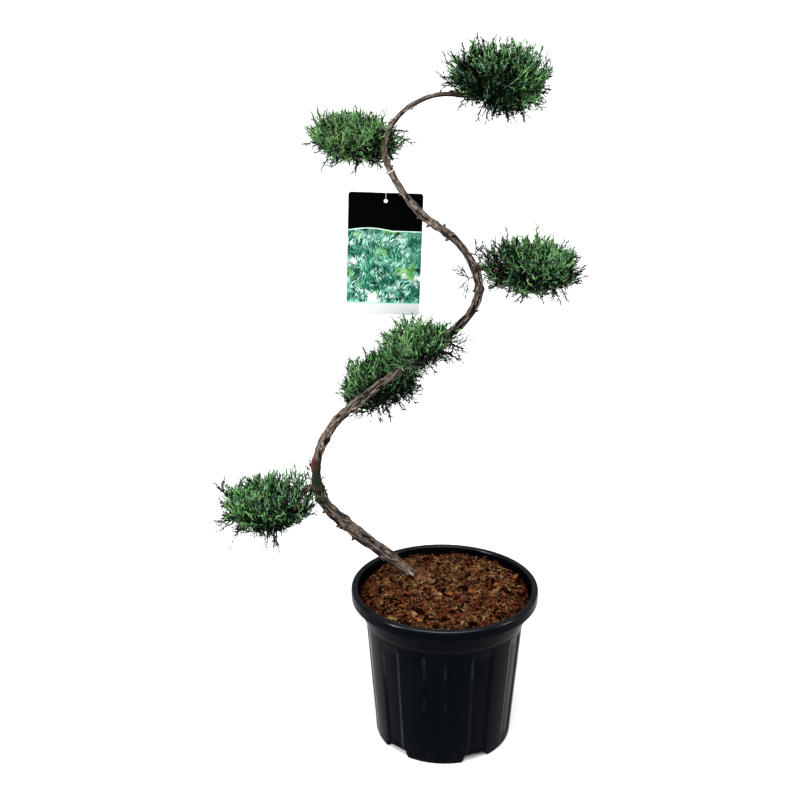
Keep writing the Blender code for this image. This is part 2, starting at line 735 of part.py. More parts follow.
def make_pad(pad, bough_tips):
    """One mass of foliage: a stem and a core, with sprays and a few long twigs standing out of it."""
    rng = random.Random(pad.seed)
    core = core_object(pad, rng)
    pieces = new_collection(pad.name + "_pieces")
    add_stem(pad, bough_tips, pieces)
    for k, way in enumerate(golden_ways(SPRAYS_PER_PAD, rng, SPRAY_JITTER)):
        share = pad.core_share(way)
        root = pad.surface(way, share * ROOT_SHARE)
        tip = pad.surface((way + UP * SPRAY_LIFT).normalized(), rng.uniform(*SPRAY_TIPS))
        roll = rng.uniform(0, math.pi)
        if share > LEAST_CORE_SHARE and keeps_its_space(pad, spray_reach(root, tip, roll)):
            add_spray(root, tip, roll, 5 if k % 2 else 3, pieces)
    for way in golden_ways(LONG_TWIGS_PER_PAD, rng, TWIG_JITTER):
        share = pad.core_share(way)
        root = pad.surface(way, share * ROOT_SHARE)
        end = pad.surface(way, TWIG_END)
        tip = pad.surface((way - UP * TWIG_DROOP).normalized(), TWIG_SPRAY_TIP)
        fork, side_fork = root.lerp(end, 0.8), root.lerp(end, 0.5)
        across = way.cross(UP).normalized()
        side_tip = side_fork + (tip - fork) * 0.6 + across * SIDE_SPRAY_SHIFT
        roll = rng.uniform(0, math.pi)
        reach = spray_reach(fork, tip, roll) + spray_reach(side_fork, side_tip, roll)
        if share > LEAST_CORE_SHARE and keeps_its_space(pad, reach):
            spike("twig", root, end, TWIG_DIAMETERS, pieces)
            add_spray(fork, tip, roll, 3, pieces)
            add_spray(side_fork, side_tip, roll, 3, pieces)
    unite(core, pieces)


def make_bend_shoot():
    """A short bare shoot with three small sprays."""
    root, radius = trunk_at(SHOOT_PLACE)
    fork = Vector(SHOOT_FORK) * MM
    outward = (fork - root).normalized()
    start = root + outward * (knobbly(radius, SHOOT_PLACE) + 1.2 * GAP)
    end = fork + outward * SHOOT_DIAMETERS[0]
    stem = spike("shoot_inner_bend", start, end, SHOOT_DIAMETERS, PLANT, sides=6)
    pieces = new_collection("shoot_pieces")
    for k, tip in enumerate(SHOOT_TIPS):
        add_spray(fork, Vector(tip) * MM, k, 5, pieces)
    unite(stem, pieces)


# Label and string


def rounded_card(width, height, corner, steps=4):
    """Outline of a card with round corners, about its own centre."""
    points = []
    for quarter, (sx, sz) in enumerate(((1, 1), (-1, 1), (-1, -1), (1, -1))):
        centre = Vector((sx * (width / 2 - corner), sz * (height / 2 - corner)))
        for i in range(steps + 1):
            angle = (quarter + i / steps) * math.pi / 2
            points.append(centre + Vector((math.cos(angle), math.sin(angle))) * corner)
    return points


def flat_spline(curve, outline):
    """Adds a closed outline of (x, y) points to a flat curve."""
    spline = curve.splines.new("POLY")
    spline.points.add(len(outline) - 1)
    for spot, (x, y) in zip(spline.points, outline):
        spot.co = (x, y, 0, 1)
    spline.use_cyclic_u = True


def make_label():
    """A flat card with a hole, stood upright. Its own origin is the pivot that it hangs from."""
    curve = bpy.data.curves.new("label", "CURVE")
    curve.dimensions = "2D"
    curve.fill_mode = "BOTH"
    curve.extrude = LABEL_THICKNESS / 2
    middle = -STRING_DROP + LABEL_HOLE_DROP - LABEL_HEIGHT / 2
    card = rounded_card(LABEL_WIDTH, LABEL_HEIGHT, LABEL_CORNER)
    flat_spline(curve, [(p.x, p.y + middle) for p in card])
    angles = [math.tau * i / HOLE_CORNERS for i in range(HOLE_CORNERS)]
    hole = [Vector((math.cos(a), math.sin(a))) * LABEL_HOLE_RADIUS for a in angles]
    flat_spline(curve, [(p.x, p.y - STRING_DROP) for p in hole])
    curve.materials.append(LABEL_CARD)
    label = bpy.data.objects.new("label", curve)
    PLANT.objects.link(label)
    label.matrix_world = HANGING @ Matrix.Rotation(math.pi / 2, 4, "X")
    return made_mesh(label)


def make_string():
    """A doubled string: down in front of the card, through the hole and up behind it."""
    drop = STRING_DROP + STRING_RADIUS + GAP - LABEL_HOLE_RADIUS
    back = [(-side, share) for side, share in reversed(STRING_ROUTE[1:])]
    route = [*STRING_ROUTE, *back]
    points = [Vector((0, -side * STRING_SPREAD, -share * drop)) for side, share in route]
    string = tube("label_string", points, [STRING_RADIUS] * len(points), STRING, 2, cyclic=True)
    string.matrix_world = HANGING
    return string


def main():
    make_pot()
    make_potting_mix()
    make_trunk()
    bough_tips = make_boughs()
    for pad in ALL_PADS:
        make_pad(pad, bough_tips)
    make_bend_shoot()
    make_label()
    make_string()
    make_tie()


main()
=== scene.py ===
import math

import bmesh
import bpy
import numpy as np
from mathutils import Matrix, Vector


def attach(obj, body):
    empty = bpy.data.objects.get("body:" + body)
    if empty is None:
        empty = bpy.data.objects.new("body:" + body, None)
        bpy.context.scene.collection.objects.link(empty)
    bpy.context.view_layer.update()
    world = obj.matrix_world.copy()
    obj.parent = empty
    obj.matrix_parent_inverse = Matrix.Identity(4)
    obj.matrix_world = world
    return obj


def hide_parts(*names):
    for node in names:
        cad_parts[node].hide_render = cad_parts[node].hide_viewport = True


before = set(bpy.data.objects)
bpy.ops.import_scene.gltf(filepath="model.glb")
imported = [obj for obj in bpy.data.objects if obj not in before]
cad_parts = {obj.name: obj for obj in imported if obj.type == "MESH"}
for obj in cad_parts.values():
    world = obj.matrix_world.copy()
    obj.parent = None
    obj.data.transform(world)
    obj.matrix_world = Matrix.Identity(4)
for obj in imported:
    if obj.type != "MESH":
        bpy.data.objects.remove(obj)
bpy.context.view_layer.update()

MM = 0.001

# Camera and studio.
# The picture is taken from the front and a little above, on a pale floor that runs out of the frame,
# under a broad soft light from above and a softer one at each side.
LOOKS_DOWN = 20.09      # degrees
camera = bpy.data.objects.new("camera", bpy.data.cameras.new("camera"))
camera.location = (-0.0620336, -1.6, 1.086)
camera.rotation_euler = (math.radians(90 - LOOKS_DOWN), 0, 0)
camera.data.sensor_width = 36
camera.data.lens = 58.23
bpy.context.scene.collection.objects.link(camera)
bpy.context.scene.camera = camera
bpy.context.scene.view_settings.view_transform = "Standard"

world = bpy.data.worlds.new("studio")
world.use_nodes = True
world.node_tree.nodes["Background"].inputs["Color"].default_value = (0.96, 0.98, 1.0, 1)
world.node_tree.nodes["Background"].inputs["Strength"].default_value = 0.40
bpy.context.scene.world = world

SOFT_LIGHTS = (
    # name, place, point that it faces, and for a lamp near the plant its width and height; then its power
    ("light_above", (-0.05, -0.55, 1.35), (0, 0, 0), None, 4.9),
    ("light_front", (-0.3, -1.2, 1.7), (0, 0, 0.25), (1.0, 0.07), 4.5),
    ("light_left", (-1.5, -0.9, 0.7), (0, 0, 0.3), (0.16, 1.5), 41),
    ("light_right", (1.7, -0.5, 0.7), (0, 0, 0.3), (0.10, 1.3), 27),
)
for name, place, target, size, power in SOFT_LIGHTS:
    lamp = bpy.data.lights.new(name, "AREA" if size else "SUN")
    lamp.energy = power
    if size:
        lamp.shape = "RECTANGLE"
        lamp.size, lamp.size_y = size
    else:
        lamp.angle = math.radians(58)
    light = bpy.data.objects.new(name, lamp)
    facing = Vector(target) - Vector(place)
    light.location = place
    light.rotation_euler = facing.to_track_quat("-Z", "Y").to_euler()
    bpy.context.scene.collection.objects.link(light)


def plug(tree, socket, value):
    """Joins an output to a socket, or sets the socket's own value."""
    if isinstance(value, bpy.types.NodeSocket):
        tree.links.new(value, socket)
    elif isinstance(value, tuple) and len(value) == 3 and socket.type == "RGBA":
        socket.default_value = (*value, 1)
    else:
        socket.default_value = value


def node(tree, kind, settings=(), **sockets):
    """Adds a shader node with its settings; each named socket gets a value or another node's output."""
    made = tree.nodes.new("ShaderNode" + kind)
    for setting, value in dict(settings).items():
        setattr(made, setting, value)
    for name, value in sockets.items():
        plug(tree, made.inputs[name.replace("_", " ")], value)
    return made


def mixed(tree, share, low, high, how="MIX"):
    """A colour between low and high by a share from 0 to 1."""
    mix = node(tree, "Mix", {"data_type": "RGBA", "blend_type": how})
    for number, value in ((0, share), (6, low), (7, high)):
        plug(tree, mix.inputs[number], value)
    return mix.outputs[2]


def noise(tree, place, scale, detail=2.0, roughness=0.5):
    """Soft random spots with finer ones on them, from about 0.3 to 0.7: as many to a unit as scale says."""
    return node(tree, "TexNoise", Vector=place, Scale=scale, Detail=detail, Roughness=roughness).outputs[0]


def spread(tree, value, low, high, start=0.0, end=1.0):
    """A value's range from low to high, stretched to run from start to end and cut off there."""
    ends = {"From_Min": low, "From_Max": high, "To_Min": start, "To_Max": end}
    return node(tree, "MapRange", Value=value, **ends).outputs[0]


def finish(name, roughness, specular=0.5):
    """A new material, with its own shader's plain values."""
    material = bpy.data.materials.new(name)
    material.use_nodes = True
    shader = material.node_tree.nodes["Principled BSDF"]
    shader.inputs["Roughness"].default_value = roughness
    shader.inputs["Specular IOR Level"].default_value = specular
    return material, material.node_tree, shader


FLOOR_REACH, FLOOR_DROP = 30, 0.0002
floor_finish, tree, shader = finish("pale_floor", 0.9, 0.1)
paper = noise(tree, node(tree, "TexCoord").outputs["Object"], 3.0)
plug(tree, shader.inputs["Base Color"], mixed(tree, paper, (0.78, 0.78, 0.78), (0.80, 0.80, 0.80)))
corners = np.array([(-1, -1), (1, -1), (1, 1), (-1, 1)]) * FLOOR_REACH
floor_mesh = bpy.data.meshes.new("floor")
floor_mesh.from_pydata([(x, y, -FLOOR_DROP) for x, y in corners], [], [(0, 1, 2, 3)])
floor_mesh.materials.append(floor_finish)
floor = bpy.data.objects.new("floor", floor_mesh)
bpy.context.scene.collection.objects.link(floor)


# Pot wall.
# A nursery pot moulded in black polypropylene: a turned-over rim above a sloping collar, and a tapered
# wall with ten shallow recesses pressed into it, on five feet.
def mesh_piece(name, points, faces, material, smooth=True, weld=False):
    """A mesh object from points and equal-sided faces, whole arrays at once."""
    mesh = bpy.data.meshes.new(name)
    points, faces = points.reshape(-1, 3), faces.reshape(-1, faces.shape[-1])
    mesh.vertices.add(len(points))
    mesh.vertices.foreach_set("co", points.astype(np.float32).ravel())
    mesh.loops.add(faces.size)
    mesh.loops.foreach_set("vertex_index", faces.astype(np.int32).ravel())
    mesh.polygons.add(len(faces))
    mesh.polygons.foreach_set("loop_start", np.arange(0, faces.size, faces.shape[-1], dtype=np.int32))
    mesh.update(calc_edges=True)
    if weld:
        welded = bmesh.new()
        welded.from_mesh(mesh)
        bmesh.ops.remove_doubles(welded, verts=welded.verts, dist=1e-6)
        welded.to_mesh(mesh)
        welded.free()
    mesh.materials.append(material)
    mesh.shade_smooth() if smooth else mesh.shade_flat()
    piece = bpy.data.objects.new(name, mesh)
    bpy.context.scene.collection.objects.link(piece)
    return piece


def marked(piece, name, values):
    """Gives each of a piece's points a value, or a vector, that its finish can read by name."""
    kind, field = ("FLOAT", "value") if values.ndim == 1 else ("FLOAT_VECTOR", "vector")
    piece.data.attributes.new(name, kind, "POINT").data.foreach_set(field, values.astype(np.float32).ravel())


def grid_faces(rows, columns, closed_rows=False, closed_columns=True):
    """Corners of the faces between neighbouring rows and columns of a grid of points."""
    index = np.arange(rows * columns).reshape(rows, columns)
    if closed_rows:
        index = np.concatenate([index, index[:1]])
    if closed_columns:
        index = np.concatenate([index, index[:, :1]], axis=1)
    return np.stack([index[:-1, :-1], index[:-1, 1:], index[1:, 1:], index[1:, :-1]], -1).reshape(-1, 4)


def smooth_step(value):
    """0 below 0, 1 above 1, and an S-shaped rise between them."""
    value = np.clip(value, 0, 1)
    return value * value * (3 - 2 * value)


def unit(vectors):
    """Vectors in the same directions, with length 1."""
    return vectors / np.linalg.norm(vectors, axis=-1, keepdims=True)


def curve_at(start, knee, end, t):
    """Points of quadratic curves: each starts towards its knee and ends coming from it."""
    t = np.asarray(t)[..., None]
    return start[:, None] * (1 - t) ** 2 + knee[:, None] * 2 * t * (1 - t) + end[:, None] * t**2


def lengths_along(path):
    """How far along a path each of its points lies."""
    return np.concatenate([[0], np.cumsum(np.linalg.norm(np.diff(path, axis=0), axis=1))])


def rounded_profile(corners, steps=5, spacing=7 * MM):
    """A closed outline whose corners (radius, height, rounding) are replaced by quadratic arcs.

    Each arc starts and ends its rounding away from the corner, and long straights get extra points.
    """
    corner, rounding = corners[:, :2], corners[:, 2:]
    start, end = (corner + unit(np.roll(corner, shift, 0) - corner) * rounding for shift in (1, -1))
    outline = curve_at(start, corner, end, np.linspace(0, 1, steps)[None]).reshape(-1, 2)
    outline = np.concatenate([outline, outline[:1]])
    lengths = lengths_along(outline)
    marks = np.union1d(lengths, np.arange(0, lengths[-1], spacing))[:-1]
    marks = marks[np.concatenate([[True], np.diff(marks) > 0.05 * MM])]
    return np.stack([np.interp(marks, lengths, column) for column in outline.T], 1)


def from_nearest(turn, middle, period):
    """Angle to the nearest of the middles that come once a period."""
    return np.abs((turn - middle + period / 2) % period - period / 2)


def maths(tree, operation, *values, clamp=False):
    """A sum, product, or other operation on values and other nodes' outputs."""
    made = node(tree, "Math", {"operation": operation, "use_clamp": clamp})
    for socket, value in zip(made.inputs, values):
        plug(tree, socket, value)
    return made.outputs[0]


POT_SECTION = np.array([
    # radius, height and rounding of each corner, up the inside and down the outside
    (88.0, 15.5, 0.1), (93.2, 15.5, 0.6), (106.6, 183.5, 2.0), (110.1, 186.5, 2.0), (117.6, 212.0, 2.0),
    (120.5, 225.6, 1.0), (121.6, 227.0, 1.0), (128.2, 227.0, 1.6), (129.5, 224.6, 1.4), (129.4, 212.0, 1.0),
    (127.2, 212.0, 0.9), (127.0, 223.1, 0.6), (123.2, 223.1, 0.6), (121.0, 212.0, 1.5), (113.5, 186.5, 2.2),
    (109.9, 183.5, 1.6), (95.7, 3.0, 2.2), (94.2, 0.0, 1.2), (88.0, 0.0, 0.8), (87.4, 11.6, 0.4),
]) * MM
WALL_TOP, WALL_FOOT_RADIUS, WALL_TOP_RADIUS = 183.5 * MM, 95.5 * MM, 110 * MM
CREASE = math.radians(38)
FLUTES, FLUTE_MIDDLE = 10, math.radians(9)
FLUTE_PERIOD = math.tau / FLUTES
columns = FLUTE_PERIOD * np.arange(FLUTES)[:, None]
columns = (np.radians(np.arange(-18, 18, 0.8)) + FLUTE_MIDDLE + columns).ravel()

section = rounded_profile(POT_SECTION)
radius, height = section[:, :1] + 0 * columns, section[:, 1:] + 0 * columns
outer = np.interp(height, [0, WALL_TOP], [WALL_FOOT_RADIUS, WALL_TOP_RADIUS])
on_wall = smooth_step((radius - outer + 1.7 * MM) / MM) * (height < WALL_TOP + 0.5 * MM)

# A recess is half a period wide: crisp at its ends and hollowed from side to side, with painted highlights
# along its edges.
FLUTE_DEPTH, FLUTE_HALF_HEIGHT, FLUTE_CENTRE = 2.2 * MM, 80.5 * MM, 93.5 * MM
from_side = radius * (FLUTE_PERIOD / 4 - from_nearest(columns, FLUTE_MIDDLE, FLUTE_PERIOD))
from_end = FLUTE_HALF_HEIGHT - np.abs(height - FLUTE_CENTRE)
pressed = smooth_step(from_side / (7 * MM) + 0.15) * smooth_step(from_end / (2 * MM))
radius = radius - FLUTE_DEPTH * pressed * on_wall
# How much painted highlight each point near a recess's edge gets.
rubbed = 4 * pressed * (1 - pressed) * on_wall

# Between the feet the wall's lower edge rises to the floor, with sloping sides.
FEET, GAP_MIDDLE = 5, math.radians(-63)
FOOT_PERIOD = math.tau / FEET
from_gap = from_nearest(columns, GAP_MIDDLE, FOOT_PERIOD)
gap_height = np.interp(from_gap, np.radians([9.6, 10.1, 12.0, 12.7]), [1, 0.94, 0.06, 0])
ceiling = np.where(radius > 90 * MM, 13 * MM, 11.6 * MM)
height = height + gap_height * np.clip(ceiling - height, 0, None) * np.clip(1 - height / ceiling, 0, 1) ** 0.3

# The moulding isn't quite true: its rim waves up and down, and its upper part is a little out of round.
height = height + 0.25 * MM * np.sin(3 * columns + 0.6) * smooth_step((height - 0.19) / 0.03)
out_of_round = 0.35 * MM * np.sin(2 * columns + 1.1) + 0.15 * MM * np.sin(5 * columns)
radius = radius + out_of_round * smooth_step(height / 0.2)
wall_points = np.stack([radius * np.cos(columns), radius * np.sin(columns), height], -1)

pot_finish, tree, shader = finish("black_moulded_plastic", 0.3, 0.014)
place = node(tree, "TexCoord").outputs["Object"]
up_pot = node(tree, "SeparateXYZ", Vector=place).outputs["Z"]
broad = noise(tree, place, 14.0, 4.0, 0.6)
grain = noise(tree, place, 900.0, 3.0, 0.6)

# Dust settles low on the wall and on what faces up; the recesses' edges carry painted highlights in upright
# streaks.
facing = node(tree, "SeparateXYZ", Vector=node(tree, "NewGeometry").outputs["Normal"]).outputs["Z"]
settled = maths(tree, "MAXIMUM", spread(tree, up_pot, 0.045, 0.0), spread(tree, facing, 0.2, 0.9))
settled = maths(tree, "MULTIPLY_ADD", settled, 0.3, 0.03, clamp=True)
dust = spread(tree, noise(tree, place, 160.0, 6.0, 0.75), 0.45, 0.75)
dusty = maths(tree, "MULTIPLY", settled, dust, clamp=True)
upright = node(tree, "Mapping", Vector=place, Scale=(1, 1, 0.25)).outputs[0]
highlight_streaks = spread(tree, noise(tree, upright, 45.0), 0.52, 0.70)
highlight_edge_band = node(tree, "Attribute", {"attribute_name": "rubbed"}).outputs["Fac"]
painted_edge_highlights = maths(tree, "MULTIPLY", highlight_edge_band, highlight_streaks, clamp=True)

plug(tree, shader.inputs["Coat Weight"], spread(tree, up_pot, 0.2240, 0.2262, 0, 0.4))
shader.inputs["Coat Roughness"].default_value = 0.22
shader.inputs["Specular Tint"].default_value = (0.80, 0.92, 1.0, 1)
plastic = mixed(tree, broad, (0.0002, 0.0005, 0.0011), (0.0006, 0.0011, 0.0020))
# A paler grey on the recesses' edges is painted highlight, broken into upright streaks.
plastic = mixed(tree, painted_edge_highlights, plastic, (0.016, 0.0175, 0.019))
plug(tree, shader.inputs["Base Color"], mixed(tree, dusty, plastic, (0.017, 0.017, 0.016)))
plug(tree, shader.inputs["Roughness"], spread(tree, broad, 0.3, 0.7, 0.18, 0.27))
bump = node(tree, "Bump", Height=grain, Strength=0.05, Distance=0.0002)
plug(tree, shader.inputs["Normal"], bump.outputs[0])
wall_faces = grid_faces(*wall_points.shape[:2], closed_rows=True)[:, ::-1]
pot_wall = mesh_piece("pot_wall", wall_points, wall_faces, pot_finish)
pot_wall.data.set_sharp_from_angle(angle=CREASE)
marked(pot_wall, "rubbed", rubbed.ravel())
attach(pot_wall, "plant")
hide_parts("pot")

# Pot floor.
# The same moulding's bottom: a flat plate with five drain holes, one in line with each gap between the
# feet, and a boss in its middle that stands on the ground.
PLATE_HEIGHT, PLATE_THICK, PLATE_COLUMNS = 13.5 * MM, 3.5 * MM, 240
DRAIN_REACH, DRAIN_RADIUS, DRAIN_SURROUND = 62 * MM, 6 * MM, 7.4 * MM
plate_columns = np.arange(PLATE_COLUMNS) / PLATE_COLUMNS * math.tau
plate_rings = np.array([
    23, 26, 32, 38, 44, 50, 53, 55, 56.5, 58, 60, 62, 64, 66, 67.5, 69, 71, 74, 80, 88.2,
]) * MM
plate = plate_rings[:, None] * np.exp(1j * plate_columns)

# Points in and close round a drain hole are drawn to its edge, and the faces between them are left out.
hole_centres = DRAIN_REACH * np.exp(1j * (GAP_MIDDLE + FOOT_PERIOD * np.arange(FEET)))
from_hole = plate[None] - hole_centres[:, None, None]
nearest = np.abs(from_hole).argmin(0)
from_hole = np.take_along_axis(from_hole, nearest[None], 0)[0]
inside = np.abs(from_hole) < DRAIN_SURROUND
edge = hole_centres[nearest] + from_hole / (np.abs(from_hole) + 1e-9) * DRAIN_RADIUS
plate = np.where(inside, edge, plate)
faces = grid_faces(*plate.shape)
faces = faces[~inside.ravel()[faces].all(axis=1)]
plate_points = np.stack([plate.real, plate.imag, np.full(plate.shape, PLATE_HEIGHT)], -1)
pot_floor = mesh_piece("pot_floor", plate_points, faces, pot_finish)
thickness = pot_floor.modifiers.new("thickness", "SOLIDIFY")
thickness.thickness, thickness.offset = PLATE_THICK, 0
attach(pot_floor, "plant")

BOSS_SECTION = np.array([
    # radius and height of each corner, from the middle of its top to the middle of its underside
    (0, 15.4), (23.6, 15.4), (24, 14), (23.2, 11.5), (23, 1.2), (22.2, 0.2), (20, 0), (0, 0),
]) * MM
boss_points = BOSS_SECTION[:, :1] * np.exp(1j * plate_columns[::5])
boss_points = np.stack([boss_points.real, boss_points.imag, BOSS_SECTION[:, 1:] + 0 * boss_points.real], -1)
boss_faces = grid_faces(*boss_points.shape[:2])[:, ::-1]
pot_boss = mesh_piece("pot_boss", boss_points, boss_faces, pot_finish, weld=True)
pot_boss.data.set_sharp_from_angle(angle=CREASE)
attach(pot_boss, "plant")


# Potting mix.
# Composted bark and coir: a dark, lumpy bed that stands a little under the rim. It is highest at the back
# and by the trunk, and falls off towards the wall.
def value_noise(points, seed):
    """Smooth noise from -1 to 1: random values on a cubic lattice, blended between its eight corners."""
    table = np.random.default_rng(seed).uniform(-1, 1, (32, 32, 32))
    cell = np.floor(points).astype(int)
    t = points - cell
    t = t * t * (3 - 2 * t)
    total = 0
    for corner in np.ndindex(2, 2, 2):
        weight = np.prod(np.where(corner, t, 1 - t), axis=-1)
        i, j, k = np.moveaxis((cell + corner) % 32, -1, 0)
        total = total + weight * table[i, j, k]
    return total


BED_HEIGHT = 217.6      # millimetres
LUMPS = (
    # width in metres, height in millimetres, and seed
    (0.022, 2.6, 5), (0.009, 2.4, 6), (0.004, 0.8, 7),
)


def mix_height(x, y):
    """Height of the bed's top: its level, a rise to the back, a heap by the trunk and lumps, less a fall.

    The lumps are noise of three widths, which settles near the wall. The fall is 3.4 mm over the last 30 mm.
    """
    out = np.hypot(x, y)
    flat = np.stack([x, y, 0 * x], -1)
    lumps = sum(tall * value_noise(flat / wide, seed) for wide, tall, seed in LUMPS)
    rise = 3.2 * smooth_step((y + 0.01) / 0.10) * smooth_step((0.125 - out) / 0.02)
    heap = 3.0 * np.exp(-(((x + 0.036) / 0.03) ** 2) - ((y - 0.04) / 0.03) ** 2)
    fall = 3.4 * smooth_step((out - 0.088) / 0.03)
    loose = 0.35 + 0.65 * smooth_step((0.1165 - out) / 0.012)
    return (BED_HEIGHT + (rise + heap) - fall + lumps * loose) * MM


def on_bed(x, y, lift):
    """Points over places on the bed, lifted off its top."""
    return np.stack([x, y, mix_height(x, y) + lift], -1)


BED_EDGE, BED_BOTTOM, BED_COLUMNS = 117.0 * MM, 0.204, 200
rings = np.linspace(0, 1, 90)[:, None] ** 0.8 * BED_EDGE
bed = rings * np.exp(1j * np.arange(BED_COLUMNS) / BED_COLUMNS * math.tau)
under = bed[[-1, 0]] * 0.975
under = np.stack([under.real, under.imag, np.full(under.shape, BED_BOTTOM)], -1)
bed_points = np.concatenate([on_bed(bed.real, bed.imag, 0), under])


def new_group(name, inputs, outputs):
    """An empty node group with named sockets, and its two end nodes."""
    group = bpy.data.node_groups.new(name, "ShaderNodeTree")
    for side, sockets in (("INPUT", inputs), ("OUTPUT", outputs)):
        for socket, kind in sockets:
            group.interface.new_socket(name=socket, in_out=side, socket_type="NodeSocket" + kind)
    return group, group.nodes.new("NodeGroupInput").outputs, group.nodes.new("NodeGroupOutput").inputs


# Damp and weathered surfaces are mottled from a dark to a pale colour, with a finer grain for their bumps.
MOTTLE, given, result = new_group(
    "mottle", (("Place", "Vector"), ("Scale", "Float"), ("Pale", "Color"), ("Dark", "Color")),
    (("Colour", "Color"), ("Grain", "Float")),
)
broad = noise(MOTTLE, given["Place"], given["Scale"], 5.0, 0.65)
share = spread(MOTTLE, broad, 0.33, 0.67)
plug(MOTTLE, result["Colour"], mixed(MOTTLE, share, given["Dark"], given["Pale"]))
finer = maths(MOTTLE, "MULTIPLY", given["Scale"], 7.0)
plug(MOTTLE, result["Grain"], noise(MOTTLE, given["Place"], finer, 4.0, 0.7))


def tinted(name, pale, dark, roughness, specular, scale, strength, distance, stretch=(1, 1, 1)):
    """A natural surface in a mottle of two colours, with a fine grain; both follow the object's own space."""
    material, tree, shader = finish(name, roughness, specular)
    place = node(tree, "TexCoord").outputs["Object"]
    place = node(tree, "Mapping", Vector=place, Scale=stretch).outputs[0]
    mottle = node(tree, "Group", {"node_tree": MOTTLE}, Place=place, Scale=scale, Pale=pale, Dark=dark)
    plug(tree, shader.inputs["Base Color"], mottle.outputs["Colour"])
    bump = node(tree, "Bump", Height=mottle.outputs["Grain"], Strength=strength, Distance=distance)
    plug(tree, shader.inputs["Normal"], bump.outputs[0])
    return material


bed_finish = tinted(
    "damp_compost", (0.020, 0.0045, 0.0014), (0.0040, 0.0007, 0.0002), 0.95, 0.0, 150, 0.8, 0.002)
mix_bed = mesh_piece("mix_bed", bed_points, grid_faces(*bed_points.shape[:2]), bed_finish, weld=True)
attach(mix_bed, "plant")
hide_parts("potting_mix")

# Bark chips and crumbs.
# Flat splinters of composted bark from 2 to 18 mm, thrown on the bed at all angles: rust, orange, brown,
# tan and near black, with fine litter heaped at the trunk's foot and patches of yellowish moss by the rim.
CHIP_SIDES = 6
ring = range(CHIP_SIDES)
CHIP_FACES = np.array(
    [(i, (i + 1) % CHIP_SIDES, CHIP_SIDES + (i + 1) % CHIP_SIDES) for i in ring]
    + [(i, CHIP_SIDES + (i + 1) % CHIP_SIDES, CHIP_SIDES + i) for i in ring]
    + [(CHIP_SIDES, CHIP_SIDES + i, CHIP_SIDES + i + 1) for i in ring[1:-1]]
    + [(0, i + 1, i) for i in ring[1:-1]]
)


def level_way(turn):
    """Level directions at angles round the upright axis."""
    return np.stack([np.cos(turn), np.sin(turn), 0 * turn], -1)


def shells(points, faces):
    """Many closed shells with the same faces, from points given as (shell, point, 3)."""
    count, each = points.shape[:2]
    return points.reshape(-1, 3), (np.arange(count)[:, None, None] * each + faces).reshape(-1, 3)


def joined(batches):
    """Several batches of points and faces as one."""
    met = np.cumsum([0] + [len(points) for points, _ in batches])
    return np.concatenate([p for p, _ in batches]), np.concatenate([f + m for (_, f), m in zip(batches, met)])


def chips(rng, middles, sizes, tilt):
    """Slabs with six uneven sides: a ring of corners below and a smaller one above, tipped at random."""
    count = len(middles)
    around = (np.arange(CHIP_SIDES) + rng.uniform(-0.3, 0.3, (count, 2, CHIP_SIDES))) / CHIP_SIDES * math.tau
    reach = rng.uniform(0.72, 1.0, (count, 2, CHIP_SIDES)) * [[[1.0], [0.82]]]
    flat = np.stack([reach * np.cos(around), reach * np.sin(around), 0 * reach], -1) / 2
    flat[..., 2] = rng.uniform(0.35, 0.5, flat.shape[:-1]) * [[[-1], [1]]]
    local = flat * sizes[:, None, None]
    up = unit(np.stack([*rng.normal(0, tilt, (2, count)), np.ones(count)], -1))
    along = level_way(rng.uniform(0, math.tau, count))
    along = unit(along - up * (along * up).sum(1, keepdims=True))
    axes = np.stack([along, np.cross(up, along), up], 1)
    points = middles[:, None, None] + np.einsum("nrsk,nkx->nrsx", local, axes)
    return shells(points.reshape(count, -1, 3), CHIP_FACES)


def thrown(rng, count, reach, rise, spread_round=9.0):
    """Random places on the bed, a little above its top; with a small spread they gather at the front."""
    out, turn = reach * np.sqrt(rng.uniform(0, 1, count)), rng.normal(-math.pi / 2, spread_round, count)
    return on_bed(out * np.cos(turn), out * np.sin(turn), rng.uniform(0, rise, count))


CHIP_TINTS = (
    # name, share of the chips, pale and dark colour
    ("rust", 0.31, (0.112, 0.031, 0.014), (0.014, 0.0026, 0.0009)),
    ("brown", 0.20, (0.074, 0.025, 0.010), (0.009, 0.0019, 0.0006)),
    ("dark", 0.40, (0.009, 0.0015, 0.0005), (0.0020, 0.0003, 0.0001)),
    ("orange", 0.06, (0.240, 0.088, 0.028), (0.060, 0.016, 0.005)),
    ("tan", 0.03, (0.300, 0.175, 0.090), (0.066, 0.030, 0.012)),
)
CHIP_SIZES = (
    # how many, length, width and thickness in millimetres, tilt, how far out and how high they lie, and
    # their spread round the pot
    (260, (8, 18), (4, 9), (1.6, 4.2), 1.0, 109, 6.5, 1.5),
    (1000, (5, 12), (2.0, 4.2), (0.8, 2.0), 1.2, 112, 5.0, 3.0),
    (4600, (1.8, 7), (0.6, 1.8), (0.4, 1.0), 1.3, 115, 3.5, 9.0),
)
rng = np.random.default_rng(21)
for tint, share, pale, dark in CHIP_TINTS:
    chip_finish = tinted("bark_chips_" + tint, pale, dark, 0.88, 0.0, 120, 0.9, 0.001, (1, 1, 2.5))
    batches = []
    for count, *ranges, tilt, reach, rise, spread_round in CHIP_SIZES:
        count = round(count * share)
        sizes = np.stack([rng.uniform(low, high, count) for low, high in ranges], 1) * MM
        middles = thrown(rng, count, reach * MM, rise * MM, spread_round)
        batches.append(chips(rng, middles, sizes, tilt))
    chip_piece = mesh_piece("bark_chips_" + tint, *joined(batches), chip_finish, smooth=False)
    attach(chip_piece, "plant")

